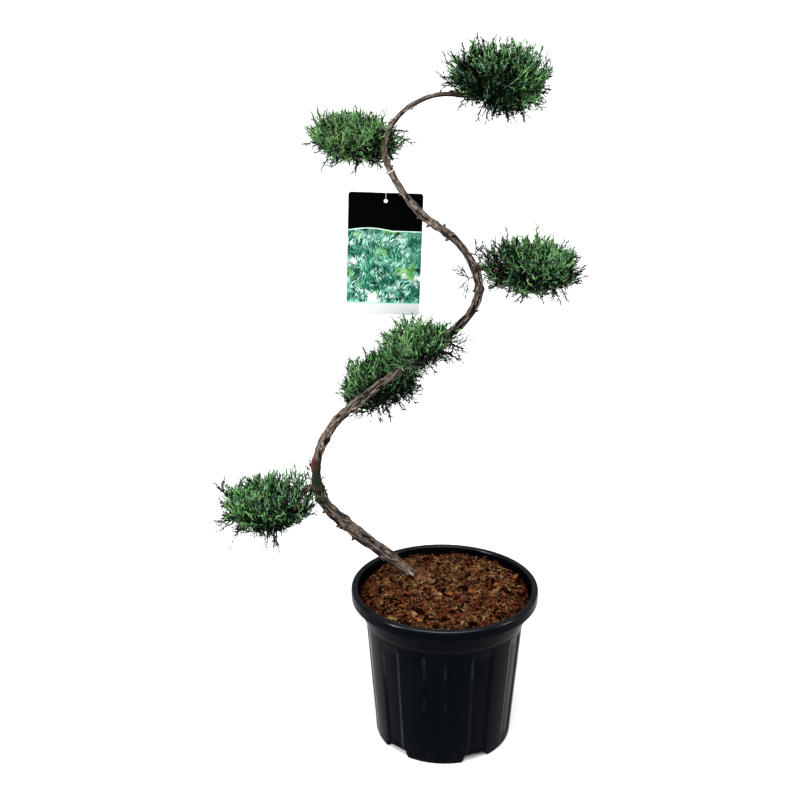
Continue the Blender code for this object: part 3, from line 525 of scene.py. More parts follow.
LITTER, HEAP_MIDDLE, HEAP_SPREAD, HEAP_HEIGHT = 190, (-31, 33), (7, 6), 7      # places in millimetres
litter_places = rng.normal(HEAP_MIDDLE, HEAP_SPREAD, (LITTER, 2)) * MM
heap = np.exp(-(((litter_places / MM - HEAP_MIDDLE) / 10) ** 2).sum(1)) * HEAP_HEIGHT * MM
litter_middles = on_bed(*litter_places.T, heap * rng.uniform(0.2, 1, LITTER))
litter_sizes = rng.uniform((3.0, 1.2, 0.7), (9.0, 3.8, 1.8), (LITTER, 3)) * MM
litter_finish = tinted("litter", (0.16, 0.066, 0.030), (0.006, 0.0035, 0.0025), 0.88, 0.02, 170, 0.9, 0.001)
litter_mesh = chips(rng, litter_middles, litter_sizes, 1.2)
litter = mesh_piece("litter_at_the_foot", *litter_mesh, litter_finish, smooth=False)
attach(litter, "plant")

MOSS_PATCHES = (
    # middle and spread in millimetres, and how many tufts
    ((-74, -72), (8, 4), 90), ((70, 62), (7, 5), 34), ((-90, 14), (4, 8), 30),
)
moss_finish = tinted("yellow_moss", (0.30, 0.24, 0.035), (0.10, 0.09, 0.02), 0.95, 0.1, 300, 0.9, 0.001)
moss_places = [rng.normal(middle, wide, (count, 2)) for middle, wide, count in MOSS_PATCHES]
moss_middles = on_bed(*np.concatenate(moss_places).T * MM, 1.4 * MM)
moss_mesh = chips(rng, moss_middles, rng.uniform(1.2, 3.2, (len(moss_middles), 3)) * MM, 0.8)
moss = mesh_piece("moss", *moss_mesh, moss_finish)
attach(moss, "plant")


# Coir fibres.
# Fine hairs of coconut fibre that lie over and between the chips, curled and pale.
def strands(paths, radii, sides, facing=None, flat=1.0):
    """Closed tubes along many paths at once: points and triangles.

    paths is (strand, ring, 3) and radii (strand, ring) or (strand, ring, side). Each ring is a polygon
    square to its path's direction there, pressed flat towards facing; the root is closed by a fan and the
    tip by a blunt point.
    """
    count, rings = paths.shape[:2]
    ahead = unit(np.gradient(paths, axis=1))
    if facing is None:
        facing = np.eye(3)[np.abs(paths[:, -1] - paths[:, 0]).argmin(axis=1)]
    across = unit(np.cross(ahead, facing[:, None]))
    outward = np.cross(ahead, across)
    around = np.arange(sides) / sides * math.tau
    radii = radii[..., None] if radii.ndim == 2 else radii
    ring_points = (
        paths[:, :, None]
        + (radii * np.cos(around))[..., None] * across[:, :, None]
        + (radii * np.sin(around) * flat)[..., None] * outward[:, :, None]
    )
    tips = paths[:, -1] + ahead[:, -1] * radii[:, -1].mean(1)[:, None] * 1.2
    points = np.concatenate([ring_points.reshape(count, -1, 3), tips[:, None]], axis=1)
    here = grid_faces(rings, sides)
    side_faces = np.concatenate([here[:, [0, 1, 2]], here[:, [0, 2, 3]]])
    last, each = (rings - 1) * sides, np.arange(sides)
    tip_faces = np.stack([last + each, last + (each + 1) % sides, np.full(sides, rings * sides)], 1)
    root_faces = np.array([(0, i + 1, i) for i in range(1, sides - 1)])
    one = np.concatenate([side_faces, tip_faces, root_faces])
    return shells(points, one)


FIBRES, FOOT_FIBRES, FOOT_MIDDLE, FOOT_SPREAD = 2800, 210, (-35, 32), (10, 8)      # places in millimetres
fibre_finish = tinted("coir_fibre", (0.77, 0.44, 0.195), (0.10, 0.034, 0.011), 0.8, 0.05, 90, 0.3, 0.0003)
starts = thrown(rng, FIBRES, 106 * MM, 1.5 * MM)
at_foot = rng.normal(FOOT_MIDDLE, FOOT_SPREAD, (FOOT_FIBRES, 2)) * MM
starts[:FOOT_FIBRES] = on_bed(*at_foot.T, rng.uniform(0, 4, FOOT_FIBRES) * MM)
way = level_way(rng.uniform(0, math.tau, FIBRES))
reach = rng.uniform(3, 16, (FIBRES, 1)) * MM
sideways = np.cross(way, (0, 0, 1)) * rng.normal(0, 0.9, (FIBRES, 1))
knees = starts + (way * 0.5 + sideways) * reach
ends = starts + way * reach
knees = on_bed(*knees[:, :2].T, rng.uniform(1.5, 7, FIBRES) * MM)
ends = on_bed(*ends[:, :2].T, rng.uniform(0.5, 2.5, FIBRES) * MM)
fibre_radii = rng.uniform(0.06, 0.16, (FIBRES, 1)) * MM * [1, 1, 0.95, 0.9, 0.8, 0.6]
fibre_paths = curve_at(starts, knees, ends, np.linspace(0, 1, 6)[None])
fibres = mesh_piece("coir_fibres", *strands(fibre_paths, fibre_radii, 3), fibre_finish)
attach(fibres, "plant")

# Trunk.
# An old juniper stem trained into a zigzag. Its bark is grey-brown and fibrous, in strips that run along
# the stem and twist slowly round it, with swellings at old nodes.
TRUNK_STATIONS = np.array([
    # x, y, z and diameter in millimetres, from under the ground to the tip
    (-14, 37, 193, 13), (-39, 36, 218, 15.2), (-81.4, 34, 257.6, 19), (-125.5, 31, 295.5, 20.5),
    (-166.8, 28, 341.3, 17.6), (-176, 26, 386, 14.6), (-170, 25, 422, 13.6), (-148.1, 24, 461.1, 13.8),
    (-117.2, 23, 490.2, 13.6), (-80, 21, 521, 12.2), (-14, 17, 573, 12), (29, 8, 617.6, 12),
    (38, 0, 661.6, 12.2), (12.1, -7, 712.2, 10.8), (-37, -8, 751.7, 10), (-69, 1, 793, 8.6),
    (-82, 9, 833, 7.6), (-61.2, 14, 870.2, 6.7), (-17.8, 12, 893.1, 6.2), (37, 5, 891, 5.4),
]) * MM
TRUNK_END = len(TRUNK_STATIONS) - 1
BEND_1, BEND_2, BEND_3 = 5, 12, 16


def along_curve(points, places):
    """Places on a Catmull-Rom curve through points, counted in points from its start."""
    last = len(points) - 1
    i = np.clip(places.astype(int), 0, last - 1)
    t = (places - i)[..., None]
    before, start, end, after = (points[np.clip(i + k, 0, last)] for k in (-1, 0, 1, 2))
    return 0.5 * (
        2 * start + (end - before) * t + (2 * before - 5 * start + 4 * end - after) * t**2
        + (3 * start - before - 3 * end + after) * t**3
    )


def trunk_at(places):
    """Points and radii of the trunk at places counted in stations, its width changing in an S between two.

    Two slow waves along the trunk make the radius uneven by up to an eighth.
    """
    places = np.asarray(places, float)
    i = np.clip(places.astype(int), 0, TRUNK_END - 1)
    ease = smooth_step(places - i)
    radii = (TRUNK_STATIONS[i, 3] * (1 - ease) + TRUNK_STATIONS[i + 1, 3] * ease) / 2
    uneven = 1 + 0.05 * np.sin(7.3 * places) + 0.035 * np.sin(17.1 * places + 1)
    return along_curve(TRUNK_STATIONS[:, :3], places), radii * uneven


def trunk_way(place):
    """Direction in which the trunk grows at a place."""
    return unit(trunk_at(min(place + 0.02, TRUNK_END))[0] - trunk_at(max(place - 0.02, 0))[0])


def bark_limb(name, path, radii, sides, twist, depth, material):
    """One limb with barked skin: a ring of points square to each step of its path.

    The skin stands in and out by ridged noise stretched along the limb: strips about 4 mm wide and 25 mm
    long, finer fibres on them, and slow lobes. The place on the skin is kept as an attribute for the finish.
    """
    length = lengths_along(path)
    around = np.arange(sides) / sides * math.tau
    skin = level_way(around + twist * length[:, None])
    down = length[:, None, None] * (0, 0, 1)
    strips = 1 - 2 * np.abs(value_noise(skin * 1.9 + down / 0.024, 31)) ** 0.8
    fine = value_noise(skin * 5.5 + down / 0.011, 32)
    fibre = value_noise(skin * 11 + down / 0.006, 33)
    lobes = value_noise(skin * 0.9 + down / 0.06, 34)
    grooves = 0.62 * strips + 0.42 * fine + 0.26 * fibre
    grooves -= grooves.mean()
    relief = grooves + 0.50 * lobes
    rough = radii[:, None] * (1 + np.reshape(depth, (-1, 1)) * relief)
    points, faces = strands(path[None], rough[None], sides)
    limb = mesh_piece(name, points, faces, material)
    placed = (skin * (0.0055, 0.0055, 0) + down).reshape(-1, 3)
    marked(limb, "on_bark", np.concatenate([placed, [[0, 0, length[-1]]]]))
    marked(limb, "ridge", np.append(grooves.ravel(), 0))
    return limb


bark_finish, tree, shader = finish("juniper_bark", 0.88, 0.08)
on_bark = node(tree, "Attribute", {"attribute_name": "on_bark"}).outputs["Vector"]
ridge = node(tree, "Attribute", {"attribute_name": "ridge"}).outputs["Fac"]
lengthways = node(tree, "Mapping", Vector=on_bark, Scale=(1, 1, 0.10)).outputs[0]
along = node(tree, "SeparateXYZ", Vector=on_bark).outputs["Z"]
fibres_seen = noise(tree, lengthways, 900.0, 6.0, 0.7)
patches = noise(tree, on_bark, 55.0, 3.0)
rusty = node(tree, "TexNoise", Vector=on_bark, Scale=38.0, Detail=4.0, Distortion=0.6).outputs[0]
# Grooves go near black: the bark's own darker furrows, and painted shade in them.
furrow_and_shade = mixed(tree, spread(tree, ridge, -0.32, 0.80), (0.004, 0.003, 0.0025), (0.37, 0.30, 0.25))
streaked = mixed(tree, spread(tree, fibres_seen, 0.42, 0.58), (0.07, 0.055, 0.045), (1.0, 0.96, 0.92))
colour = mixed(tree, 1.0, furrow_and_shade, streaked, "MULTIPLY")
colour = mixed(tree, spread(tree, patches, 0.54, 0.72, 0, 0.3), colour, (0.40, 0.35, 0.31))
colour = mixed(tree, spread(tree, rusty, 0.60, 0.72, 0, 0.45), colour, (0.085, 0.034, 0.024))

# Algae darken the stem by the first bend, and just above it is a healed cut. Its foot is worn pale and painted
# lighter; painted shade darkens its undersides and painted light brightens what faces up, and it is darker near
# its tip.
algae = maths(tree, "MULTIPLY", spread(tree, along, 0.185, 0.203, 0, 0.9), spread(tree, along, 0.256, 0.246))
colour = mixed(tree, algae, colour, mixed(tree, fibres_seen, (0.006, 0.012, 0.005), (0.050, 0.050, 0.026)))
cut = maths(tree, "MULTIPLY", spread(tree, along, 0.250, 0.256, 0, 0.7), spread(tree, along, 0.272, 0.265))
colour = mixed(tree, cut, colour, (0.11, 0.022, 0.020))
# The foot is paler: its worn wood, and painted light that lifts it out of the shade it stands in.
pale_foot_and_painted_light = mixed(tree, spread(tree, along, 0.090, 0.035), (1.0, 1.0, 1.0), (1.85, 1.70, 1.52))
colour = mixed(tree, 1.0, colour, pale_foot_and_painted_light, "MULTIPLY")
# Painted light and shade: the bark is lighter where it faces up and a little to the left and front, darker
# beneath.
painted_light_facing = node(tree, "VectorMath", {"operation": "DOT_PRODUCT"})
plug(tree, painted_light_facing.inputs[0], node(tree, "NewGeometry").outputs["Normal"])
plug(tree, painted_light_facing.inputs[1], (-0.30, -0.18, 0.94))
painted_light_share = spread(tree, painted_light_facing.outputs["Value"], -0.25, 0.85)
colour = mixed(tree, 1.0, colour, mixed(tree, painted_light_share, (0.10, 0.085, 0.08), (0.92, 0.92, 0.92)), "MULTIPLY")
# The trunk is darker towards its tip.
darker_to_tip = mixed(tree, spread(tree, along, 0.75, 1.05), (1.0, 1.0, 1.0), (0.72, 0.68, 0.66))
darker_to_tip.node.name = "tip_darkening"
colour = mixed(tree, 1.0, colour, darker_to_tip, "MULTIPLY")
plug(tree, shader.inputs["Base Color"], colour)
bump = node(tree, "Bump", Height=fibres_seen, Strength=0.9, Distance=0.0007)
plug(tree, shader.inputs["Normal"], bump.outputs[0])

OLD_NODES = np.array([3.3, 4.15, 4.45, 6.4, 8.8, 11.75, 12.35, 13.35, 13.6, 13.85, 15.2, 16.0])
TRUNK_RINGS, TRUNK_SIDES, TRUNK_TWIST = 1150, 48, 9
trunk_places = np.linspace(0.45, TRUNK_END - 0.02, TRUNK_RINGS)
trunk_path, trunk_radii = trunk_at(trunk_places)
swelling = np.exp(-(((trunk_places[:, None] - OLD_NODES) / 0.09) ** 2)).sum(1)
trunk_skin, roughness = trunk_radii * (0.88 + 0.13 * swelling), 0.13 + 0.14 * swelling
trunk = bark_limb("trunk", trunk_path, trunk_skin, TRUNK_SIDES, TRUNK_TWIST, roughness, bark_finish)
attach(trunk, "plant")
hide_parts("trunk_1_foot", "trunk_2_rise", "trunk_3_return", "trunk_4_leader")

# Loose bark.
# Thin shreds of bark that have lifted off the stem at one end, many of them at old nodes and at its foot
# and none on its smooth first bend, and short stubs of cut-off twigs.
FLAKES = 1100
FOOT_PLACES = (0.85, 1.0, 1.15)
SMOOTH_FROM, SMOOTH_TO = 4.3, 5.9
rng = np.random.default_rng(41)
near_node = rng.choice(np.append(OLD_NODES, FOOT_PLACES), FLAKES) + rng.normal(0, 0.11, FLAKES)
flake_places = np.where(rng.uniform(0, 1, FLAKES) < 0.4, near_node, rng.uniform(0.9, TRUNK_END - 1.2, FLAKES))
on_smooth = (flake_places > SMOOTH_FROM) & (flake_places < SMOOTH_TO)
flake_places += 1.7 * on_smooth
flake_length = rng.uniform(3.5, 15, FLAKES) * MM
per_station = np.linalg.norm(np.diff(TRUNK_STATIONS[:, :3], axis=0), axis=1)[flake_places.astype(int)]
backwards = np.where(rng.uniform(0, 1, FLAKES) < 0.5, -1, 1)
steps = np.linspace(0, 1, 5)
places = flake_places[:, None] + backwards[:, None] * (flake_length / per_station)[:, None] * steps
centres, limb_radii = trunk_at(np.clip(places, 0.6, TRUNK_END - 0.1))
ahead = unit(centres[:, -1] - centres[:, 0])
level = unit(np.cross(ahead, (0, 1, 0)))
turn = rng.uniform(0, math.tau, FLAKES)[:, None] + rng.normal(0, 0.12, (FLAKES, 1)) * steps
outward = np.cos(turn)[..., None] * level[:, None] + np.sin(turn)[..., None] * np.cross(ahead, level)[:, None]
lift = limb_radii * 0.93 + (rng.uniform(0.1, 1.5, (FLAKES, 1)) ** 2) * steps**2 * MM
flake_paths = centres + outward * lift[..., None]
flake_radii = rng.uniform(0.25, 0.95, (FLAKES, 1)) * MM * [0.9, 1.0, 0.95, 0.7, 0.3]
flakes = strands(flake_paths, flake_radii, 4, outward.mean(1), 0.28)

STUBS = (
    # place on the trunk, angle round it (0 is the upper or left side, 90 the front), and length and width
    # in millimetres
    (2.9, 200, 1.5, 5.0), (3.35, 190, 2, 6.0), (3.8, 205, 1.5, 5.0), (4.3, 10, 2, 5.0), (4.45, 190, 2.5, 6.0),
    (5.3, 185, 2, 4.2), (6.3, 30, 2, 4.0), (7.6, 15, 3, 3.8), (8.9, 200, 2, 4.0), (10.3, 170, 3, 3.8),
    (11.1, 20, 3, 3.4), (11.7, 200, 4, 3.4), (12.4, 10, 4, 3.2), (13.25, 205, 4, 4.6), (13.45, 10, 3, 4.4),
    (13.7, 195, 4, 4.8), (13.95, 215, 3, 4.2), (14.6, 170, 2, 3.2), (15.3, 20, 3, 2.8), (16.5, 180, 3, 2.6),
    (17.3, 30, 3, 2.4), (18.1, 190, 4, 2.2),
)
stub_places, stub_angles, stub_lengths, stub_widths = np.array(STUBS).T
roots, root_radii = trunk_at(stub_places)
ahead = np.array([trunk_way(place) for place in stub_places])
level = unit(np.cross(ahead, (0, 1, 0)))
turn = np.radians(stub_angles)[:, None]
outward = -np.cos(turn) * level - np.sin(turn) * np.cross(ahead, level)
stick_out = root_radii[:, None] + stub_lengths[:, None] * MM * 0.75
tips = roots + outward * stick_out + ahead * stub_lengths[:, None] * 0.45 * MM
knees = roots + outward * (root_radii * 1.2)[:, None]
stub_paths = curve_at(roots + outward * root_radii[:, None] * 0.4, knees, tips, np.linspace(0, 1, 6)[None])
stub_radii = stub_widths[:, None] / 2 * MM * np.array([1.5, 1.2, 1.0, 0.85, 0.75, 0.55])
stub_finish = tinted("twig_stubs", (0.085, 0.062, 0.048), (0.010, 0.007, 0.005), 0.9, 0.04, 300, 0.7, 0.0008)
stubs = mesh_piece("twig_stubs", *strands(stub_paths, stub_radii, 6), stub_finish)
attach(stubs, "plant")
loose_finish = tinted(
    "peeling_bark", (0.29, 0.235, 0.195), (0.018, 0.012, 0.009), 0.9, 0.06, 260, 0.7, 0.0008)
loose_bark = mesh_piece("loose_bark", *flakes, loose_finish)
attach(loose_bark, "plant")

# Boughs.
# Each limb leaves the trunk's side, arches out to its pad and runs on inside it as the pad's spine.
# Three are boughs of their own; two short ones stem straight from the trunk, and the leader is the last.
PADS = {
    # name: centre, reach sideways, deep, up and down, all in millimetres, and lean in degrees
    "foliage_lower_left": ((-247, 26, 335), 73, 53, 57, 62, 4),
    "foliage_lower_middle": ((-88, 58, 511), 66, 47, 44, 62, -24),
    "foliage_middle": ((-33, -17, 583), 61, 41, 39, 38, -12),
    "foliage_right": ((110, 0, 681), 67, 55, 49, 48, 2),
    "foliage_upper_left": ((-121, 33, 839), 69, 51, 46, 45, 4),
    "foliage_top": ((57, 4, 911), 70, 58, 52, 51, 3),
}
LIMBS = {
    # pad: place on the trunk, the points that the limb passes, and its thick and thin end, in millimetres
    "foliage_lower_left": (
        BEND_1 - 0.36, ((-184, 25, 363), (-198, 24, 356), (-232, 26, 338), (-268, 22, 324), (-296, 24, 320)),
        8.5, 2.2),
    "foliage_lower_middle": (
        BEND_1 + 3.65, ((-95, 44, 505), (-84, 56, 500), (-98, 62, 490), (-124, 62, 484)), 6.5, 2.0),
    "foliage_middle": (
        BEND_2 - 2.15, ((-20, 6, 568), (-28, -12, 572), (-48, -20, 576), (-72, -20, 570)), 5.6, 1.8),
    "foliage_right": (
        BEND_2 + 0.4, ((47, -2, 678), (68, -2, 665), (96, -6, 653), (128, -4, 654), (154, -2, 662)),
        7.5, 2.0),
    "foliage_upper_left": (
        BEND_3 - 0.05, ((-90, 15, 831), (-103, 19, 829), (-126, 30, 824), (-150, 34, 824), (-166, 34, 830)),
        5.6, 1.8),
    "foliage_top": (
        TRUNK_END - 0.6, ((37, 5, 891), (48, 4, 886), (70, 4, 888), (94, 6, 896), (110, 6, 900)), 5.6, 1.8),
}
BOUGH_NODES = {
    "foliage_lower_left": "bough_lower_left", "foliage_right": "bough_right",
    "foliage_upper_left": "bough_upper_left",
}
LIMB_RINGS, LIMB_SIDES, LIMB_TWIST = 110, 16, 12

# The limbs' bark is the trunk's, made darker all over.
limb_finish = bark_finish.copy()
limb_finish.name = "darker_limb_bark"
limb_finish.node_tree.nodes["tip_darkening"].inputs[6].default_value = (0.42, 0.38, 0.36, 1)
spines = {}
for pad, (place, passes, thick, thin) in LIMBS.items():
    passes = np.concatenate([trunk_at(place)[0][None], np.array(passes) * MM])
    path = along_curve(passes, np.linspace(0, len(passes) - 1, LIMB_RINGS))
    taper = np.linspace(0, 1, LIMB_RINGS)
    flare = 0.35 * np.clip(1 - taper / 0.14, 0, 1) ** 1.5
    radii = (thick + (thin - thick) * smooth_step(taper * 0.9) + thick * flare) / 2 * MM
    limb = bark_limb("limb_of_" + pad, path, radii, LIMB_SIDES, LIMB_TWIST, 0.08, limb_finish)
    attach(limb, "plant")
    if pad in BOUGH_NODES:
        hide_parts(BOUGH_NODES[pad])
    spines[pad] = (path, radii)


# Foliage pads.
# Clipped clouds of scale-leaved juniper: from each limb's spine branches fork twice towards the pad's
# skin, and every last twig carries a spray of thin green cords that fork again, in many tints.
GOLDEN_ANGLE = math.pi * (3 - math.sqrt(5))


def spread_ways(count, jitter, rng):
    """Directions spread evenly over a sphere by the golden angle, each a little disturbed."""
    i = np.arange(count)
    height = 1 - 2 * (i + 0.5) / count
    ring, turn = np.sqrt(1 - height**2), i * GOLDEN_ANGLE
    even = np.stack([ring * np.cos(turn), ring * np.sin(turn), height], 1)
    return unit(even + rng.uniform(-jitter, jitter, (count, 3)))


def leaning(pad):
    """The turn about the depth axis that leans a pad in the picture."""
    lean = math.radians(PADS[pad][5])
    return np.array([(math.cos(lean), 0, math.sin(lean)), (0, 1, 0), (-math.sin(lean), 0, math.cos(lean))])


def pad_reach(pad, above):
    """Half the three axes of a pad: its reach sideways, deep, and up or, where above is False, down."""
    _, wide, deep, up, down, _ = PADS[pad]
    tall = np.where(above, up, down)
    return np.stack([wide + 0 * tall, deep + 0 * tall, tall], -1)


def skin_point(pad, ways, share):
    """Points at a share of the pad's reach from its centre: an ellipsoid, unlike above and below."""
    local = ways * pad_reach(pad, ways[:, 2] > 0) * np.asarray(share)[..., None]
    return (np.array(PADS[pad][0]) + local @ leaning(pad).T) * MM


def depth_in(pad, points):
    """How far out points lie in a pad, 1 being its skin."""
    local = (points / MM - np.array(PADS[pad][0])) @ leaning(pad)
    return np.linalg.norm(local / pad_reach(pad, local[..., 2] > 0), axis=-1)


# A limb's first rings lie bare between the trunk and its pad; from its later ones branches can grow.
BARE_RINGS, SPINE_RINGS = slice(4, 40, 3), slice(36, None, 4)
limb_spots, limb_widths = trunk_at(np.linspace(0, TRUNK_END, 420))
limb_spots = np.concatenate([limb_spots] + [path[BARE_RINGS] for path, _ in spines.values()])
limb_widths = np.concatenate([limb_widths] + [radii[BARE_RINGS] for _, radii in spines.values()])
LABEL_PIVOT = np.array([-0.078817, 0.004323, 0.796118])
SWING_HALF_WIDTH, SWING_ABOVE, SWING_BELOW, SWING_FRONT = 53 * MM, 2 * MM, 190 * MM, 3 * MM


def clear_of_others(pad, points, gap=1.4 * MM):
    """True where every point of a spray keeps off the limbs, the label's swing and the other pads."""
    off = np.linalg.norm(points[:, :, None] - limb_spots, axis=-1) > limb_widths + gap
    x, y, z = np.moveaxis(points - LABEL_PIVOT, -1, 0)
    by_label = (np.abs(x) < SWING_HALF_WIDTH) & (z < SWING_ABOVE) & (z > -SWING_BELOW) & (y > -SWING_FRONT)
    mixed_in = np.zeros(points.shape[:2], bool)
    for other in PADS:
        if other != pad:
            mixed_in |= depth_in(other, points) < 1.0
    return off.all(axis=(1, 2)) & ~by_label.any(1) & ~mixed_in.any(1)


def nearest_root(samples, targets, back):
    """The sample of the parents' points nearest to each target, moved a few samples back to their roots."""
    parents, steps = samples.shape[:2]
    apart = np.linalg.norm(targets[:, None, None] - samples, axis=-1).reshape(len(targets), -1)
    parent, step = np.divmod(apart.argmin(1), steps)
    return samples[parent, np.maximum(step - back, 0)]


def between(starts, ends, shares):
    """Points at shares of the way from each start to its end."""
    return np.stack([starts * (1 - t) + ends * t for t in shares], 1)


def forked(roots, tips, bend, rng):
    """Knees for curved paths from roots to tips: halfway, moved a little sideways and upwards."""
    reach = np.linalg.norm(tips - roots, axis=1, keepdims=True)
    aside = rng.normal(0, bend, roots.shape) * reach + (0, 0, 0.08) * reach
    return (roots + tips) / 2 + aside


CORD_SIDES, SIDE_CORDS, FINE_CORDS = 3, 6, 2


def spray_cords(roots, knees, tips, rng, thick=1.0, bushy=1.0):
    """Sprays of green cords, as three batches of paths, radii and, for each path, its side cord's number.

    The axis bends at its knee. Side cords leave it all round, by the golden angle, at 24 to 46 degrees and
    bend forwards and up again; each of them carries two short ones. bushy scales the side cords' length.
    """
    count = len(roots)
    thick = np.broadcast_to(np.reshape(thick, (-1, 1)), (count, 1))
    length = np.linalg.norm(tips - knees, axis=1) * 1.6
    axis = curve_at(roots, knees, tips, np.array([0, 0.3, 0.55, 0.78, 0.95])[None])
    axis_radii = rng.uniform(0.54, 0.76, (count, 1)) * [1.2, 1.05, 1.0, 0.95, 0.7] * MM * thick

    t = np.linspace(0.34, 0.93, SIDE_CORDS) + rng.uniform(-0.05, 0.05, (count, SIDE_CORDS))
    foot = curve_at(roots, knees, tips, t)
    there = unit((knees - roots)[:, None] * (1 - t)[..., None] + (tips - knees)[:, None] * t[..., None])
    aside = unit(np.cross(there, rng.normal(0, 1, (count, 1, 3))))
    roll = (np.arange(SIDE_CORDS) * 2.4 + rng.uniform(0, math.tau, (count, 1)))[..., None]
    fan = rng.uniform(0.42, 0.80, t.shape)[..., None]
    out = there * np.cos(fan) + (aside * np.cos(roll) + np.cross(there, aside) * np.sin(roll)) * np.sin(fan)
    reach = length[:, None] * (0.62 - 0.34 * t) * rng.uniform(0.6, 1.25, t.shape)
    reach = (np.clip(reach, 5 * MM, 18 * MM) * np.reshape(bushy, (-1, 1)))[..., None]
    bend, last = foot + out * 0.55 * reach, foot + (out * 0.62 + there * 0.36 + (0, 0, 0.14)) * reach
    foot, bend, last, out = (points.reshape(-1, 3) for points in (foot, bend, last, out))
    side_paths = curve_at(foot, bend, last, np.array([0, 0.5, 0.9])[None])
    side_thick = np.repeat(thick, SIDE_CORDS, 0)
    side_radii = rng.uniform(0.42, 0.60, (len(foot), 1)) * [1.0, 1.0, 0.75] * MM * side_thick
    side_number = np.arange(count * SIDE_CORDS)

    t = np.array([0.36, 0.68]) + rng.uniform(-0.1, 0.1, (len(foot), FINE_CORDS))
    foot = curve_at(foot, bend, last, t)
    across = unit(np.cross(out, rng.normal(0, 1, out.shape)))
    out = (out * 0.78)[:, None] + across[:, None] * np.array([[[1], [-1]]]) * 0.58
    ends = foot + out * (reach.reshape(-1, 1) * rng.uniform(0.22, 0.45, t.shape))[..., None]
    foot, ends = foot.reshape(-1, 3), ends.reshape(-1, 3)
    fine_paths = np.stack([foot, foot * 0.15 + ends * 0.85], 1)
    fine_thick = np.repeat(side_thick, FINE_CORDS, 0)
    fine_radii = rng.uniform(0.36, 0.52, (len(foot), 1)) * [1.0, 0.8] * MM * fine_thick
    return (
        (axis, axis_radii, side_number[::SIDE_CORDS]),
        (side_paths, side_radii, side_number),
        (fine_paths, fine_radii, np.repeat(side_number, FINE_CORDS)),
    )


# The shade, deep, mid and brightest tints are one green at four levels of painted light, from painted shade to
# painted highlight; blue and olive are colours of their own.
GREENS = {
    # tint: pale and dark colour
    "lit_fresh": ((0.190, 0.385, 0.140), (0.075, 0.195, 0.060)),
    "mid": ((0.056, 0.145, 0.048), (0.019, 0.060, 0.020)),
    "deep": ((0.013, 0.037, 0.0145), (0.0034, 0.012, 0.005)),
    "blue": ((0.135, 0.235, 0.170), (0.038, 0.085, 0.060)),
    "olive": ((0.115, 0.140, 0.058), (0.032, 0.044, 0.018)),
    "shade": ((0.0022, 0.0058, 0.0027), (0.0007, 0.0018, 0.0010)),
}
green_finishes = {
    tint: tinted("juniper_green_" + tint, pale, dark, 0.62, 0.03, 60, 0.35, 0.0006)
    for tint, (pale, dark) in GREENS.items()
}
twig_finish = tinted(
    "juniper_twig", (0.100, 0.064, 0.044), (0.018, 0.011, 0.008), 0.85, 0.03, 180, 0.5, 0.0006)
dead_finish = tinted("dead_twig", (0.32, 0.33, 0.27), (0.09, 0.09, 0.07), 0.85, 0.03, 120, 0.4, 0.0005)

OUTLINES = {
    # pad: how many sprays, and how far its body reaches, from the right by way of the top every 30 degrees
    "foliage_lower_left": (700, (1.00, 1.24, 1.06, 0.78, 0.74, 0.97, 0.92, 0.86, 0.69, 0.68, 0.58, 0.56)),
    "foliage_lower_middle": (610, (0.85, 0.85, 0.88, 0.90, 0.92, 0.80, 0.90, 0.93, 0.87, 0.75, 0.79, 0.82)),
    "foliage_middle": (500, (0.93, 0.77, 0.62, 0.86, 1.05, 0.97, 0.90, 0.90, 0.90, 0.90, 0.90, 0.93)),
    "foliage_right": (640, (0.85, 0.78, 0.72, 0.72, 0.78, 1.10, 1.14, 1.02, 0.87, 0.76, 0.82, 0.86)),
    "foliage_upper_left": (550, (0.97, 0.88, 0.65, 0.64, 0.73, 0.87, 0.76, 0.69, 0.78, 0.68, 0.82, 0.93)),
    "foliage_top": (700, (0.87, 1.00, 0.96, 0.78, 0.99, 1.03, 0.78, 0.78, 0.58, 0.80, 0.98, 0.91)),
}


def body_reach(pad, ways):
    """The body's reach towards ways, as a share of the skin: its outline's, evened out to front and back."""
    outline = np.array(OUTLINES[pad][1])
    turn = (np.arctan2(ways[:, 2], ways[:, 0]) % math.tau) / math.tau * 12
    side_share = np.interp(turn, np.arange(13), np.append(outline, outline[0]))
    flatness = np.hypot(ways[:, 0], ways[:, 2])
    return side_share * flatness + outline.mean() * (1 - flatness)


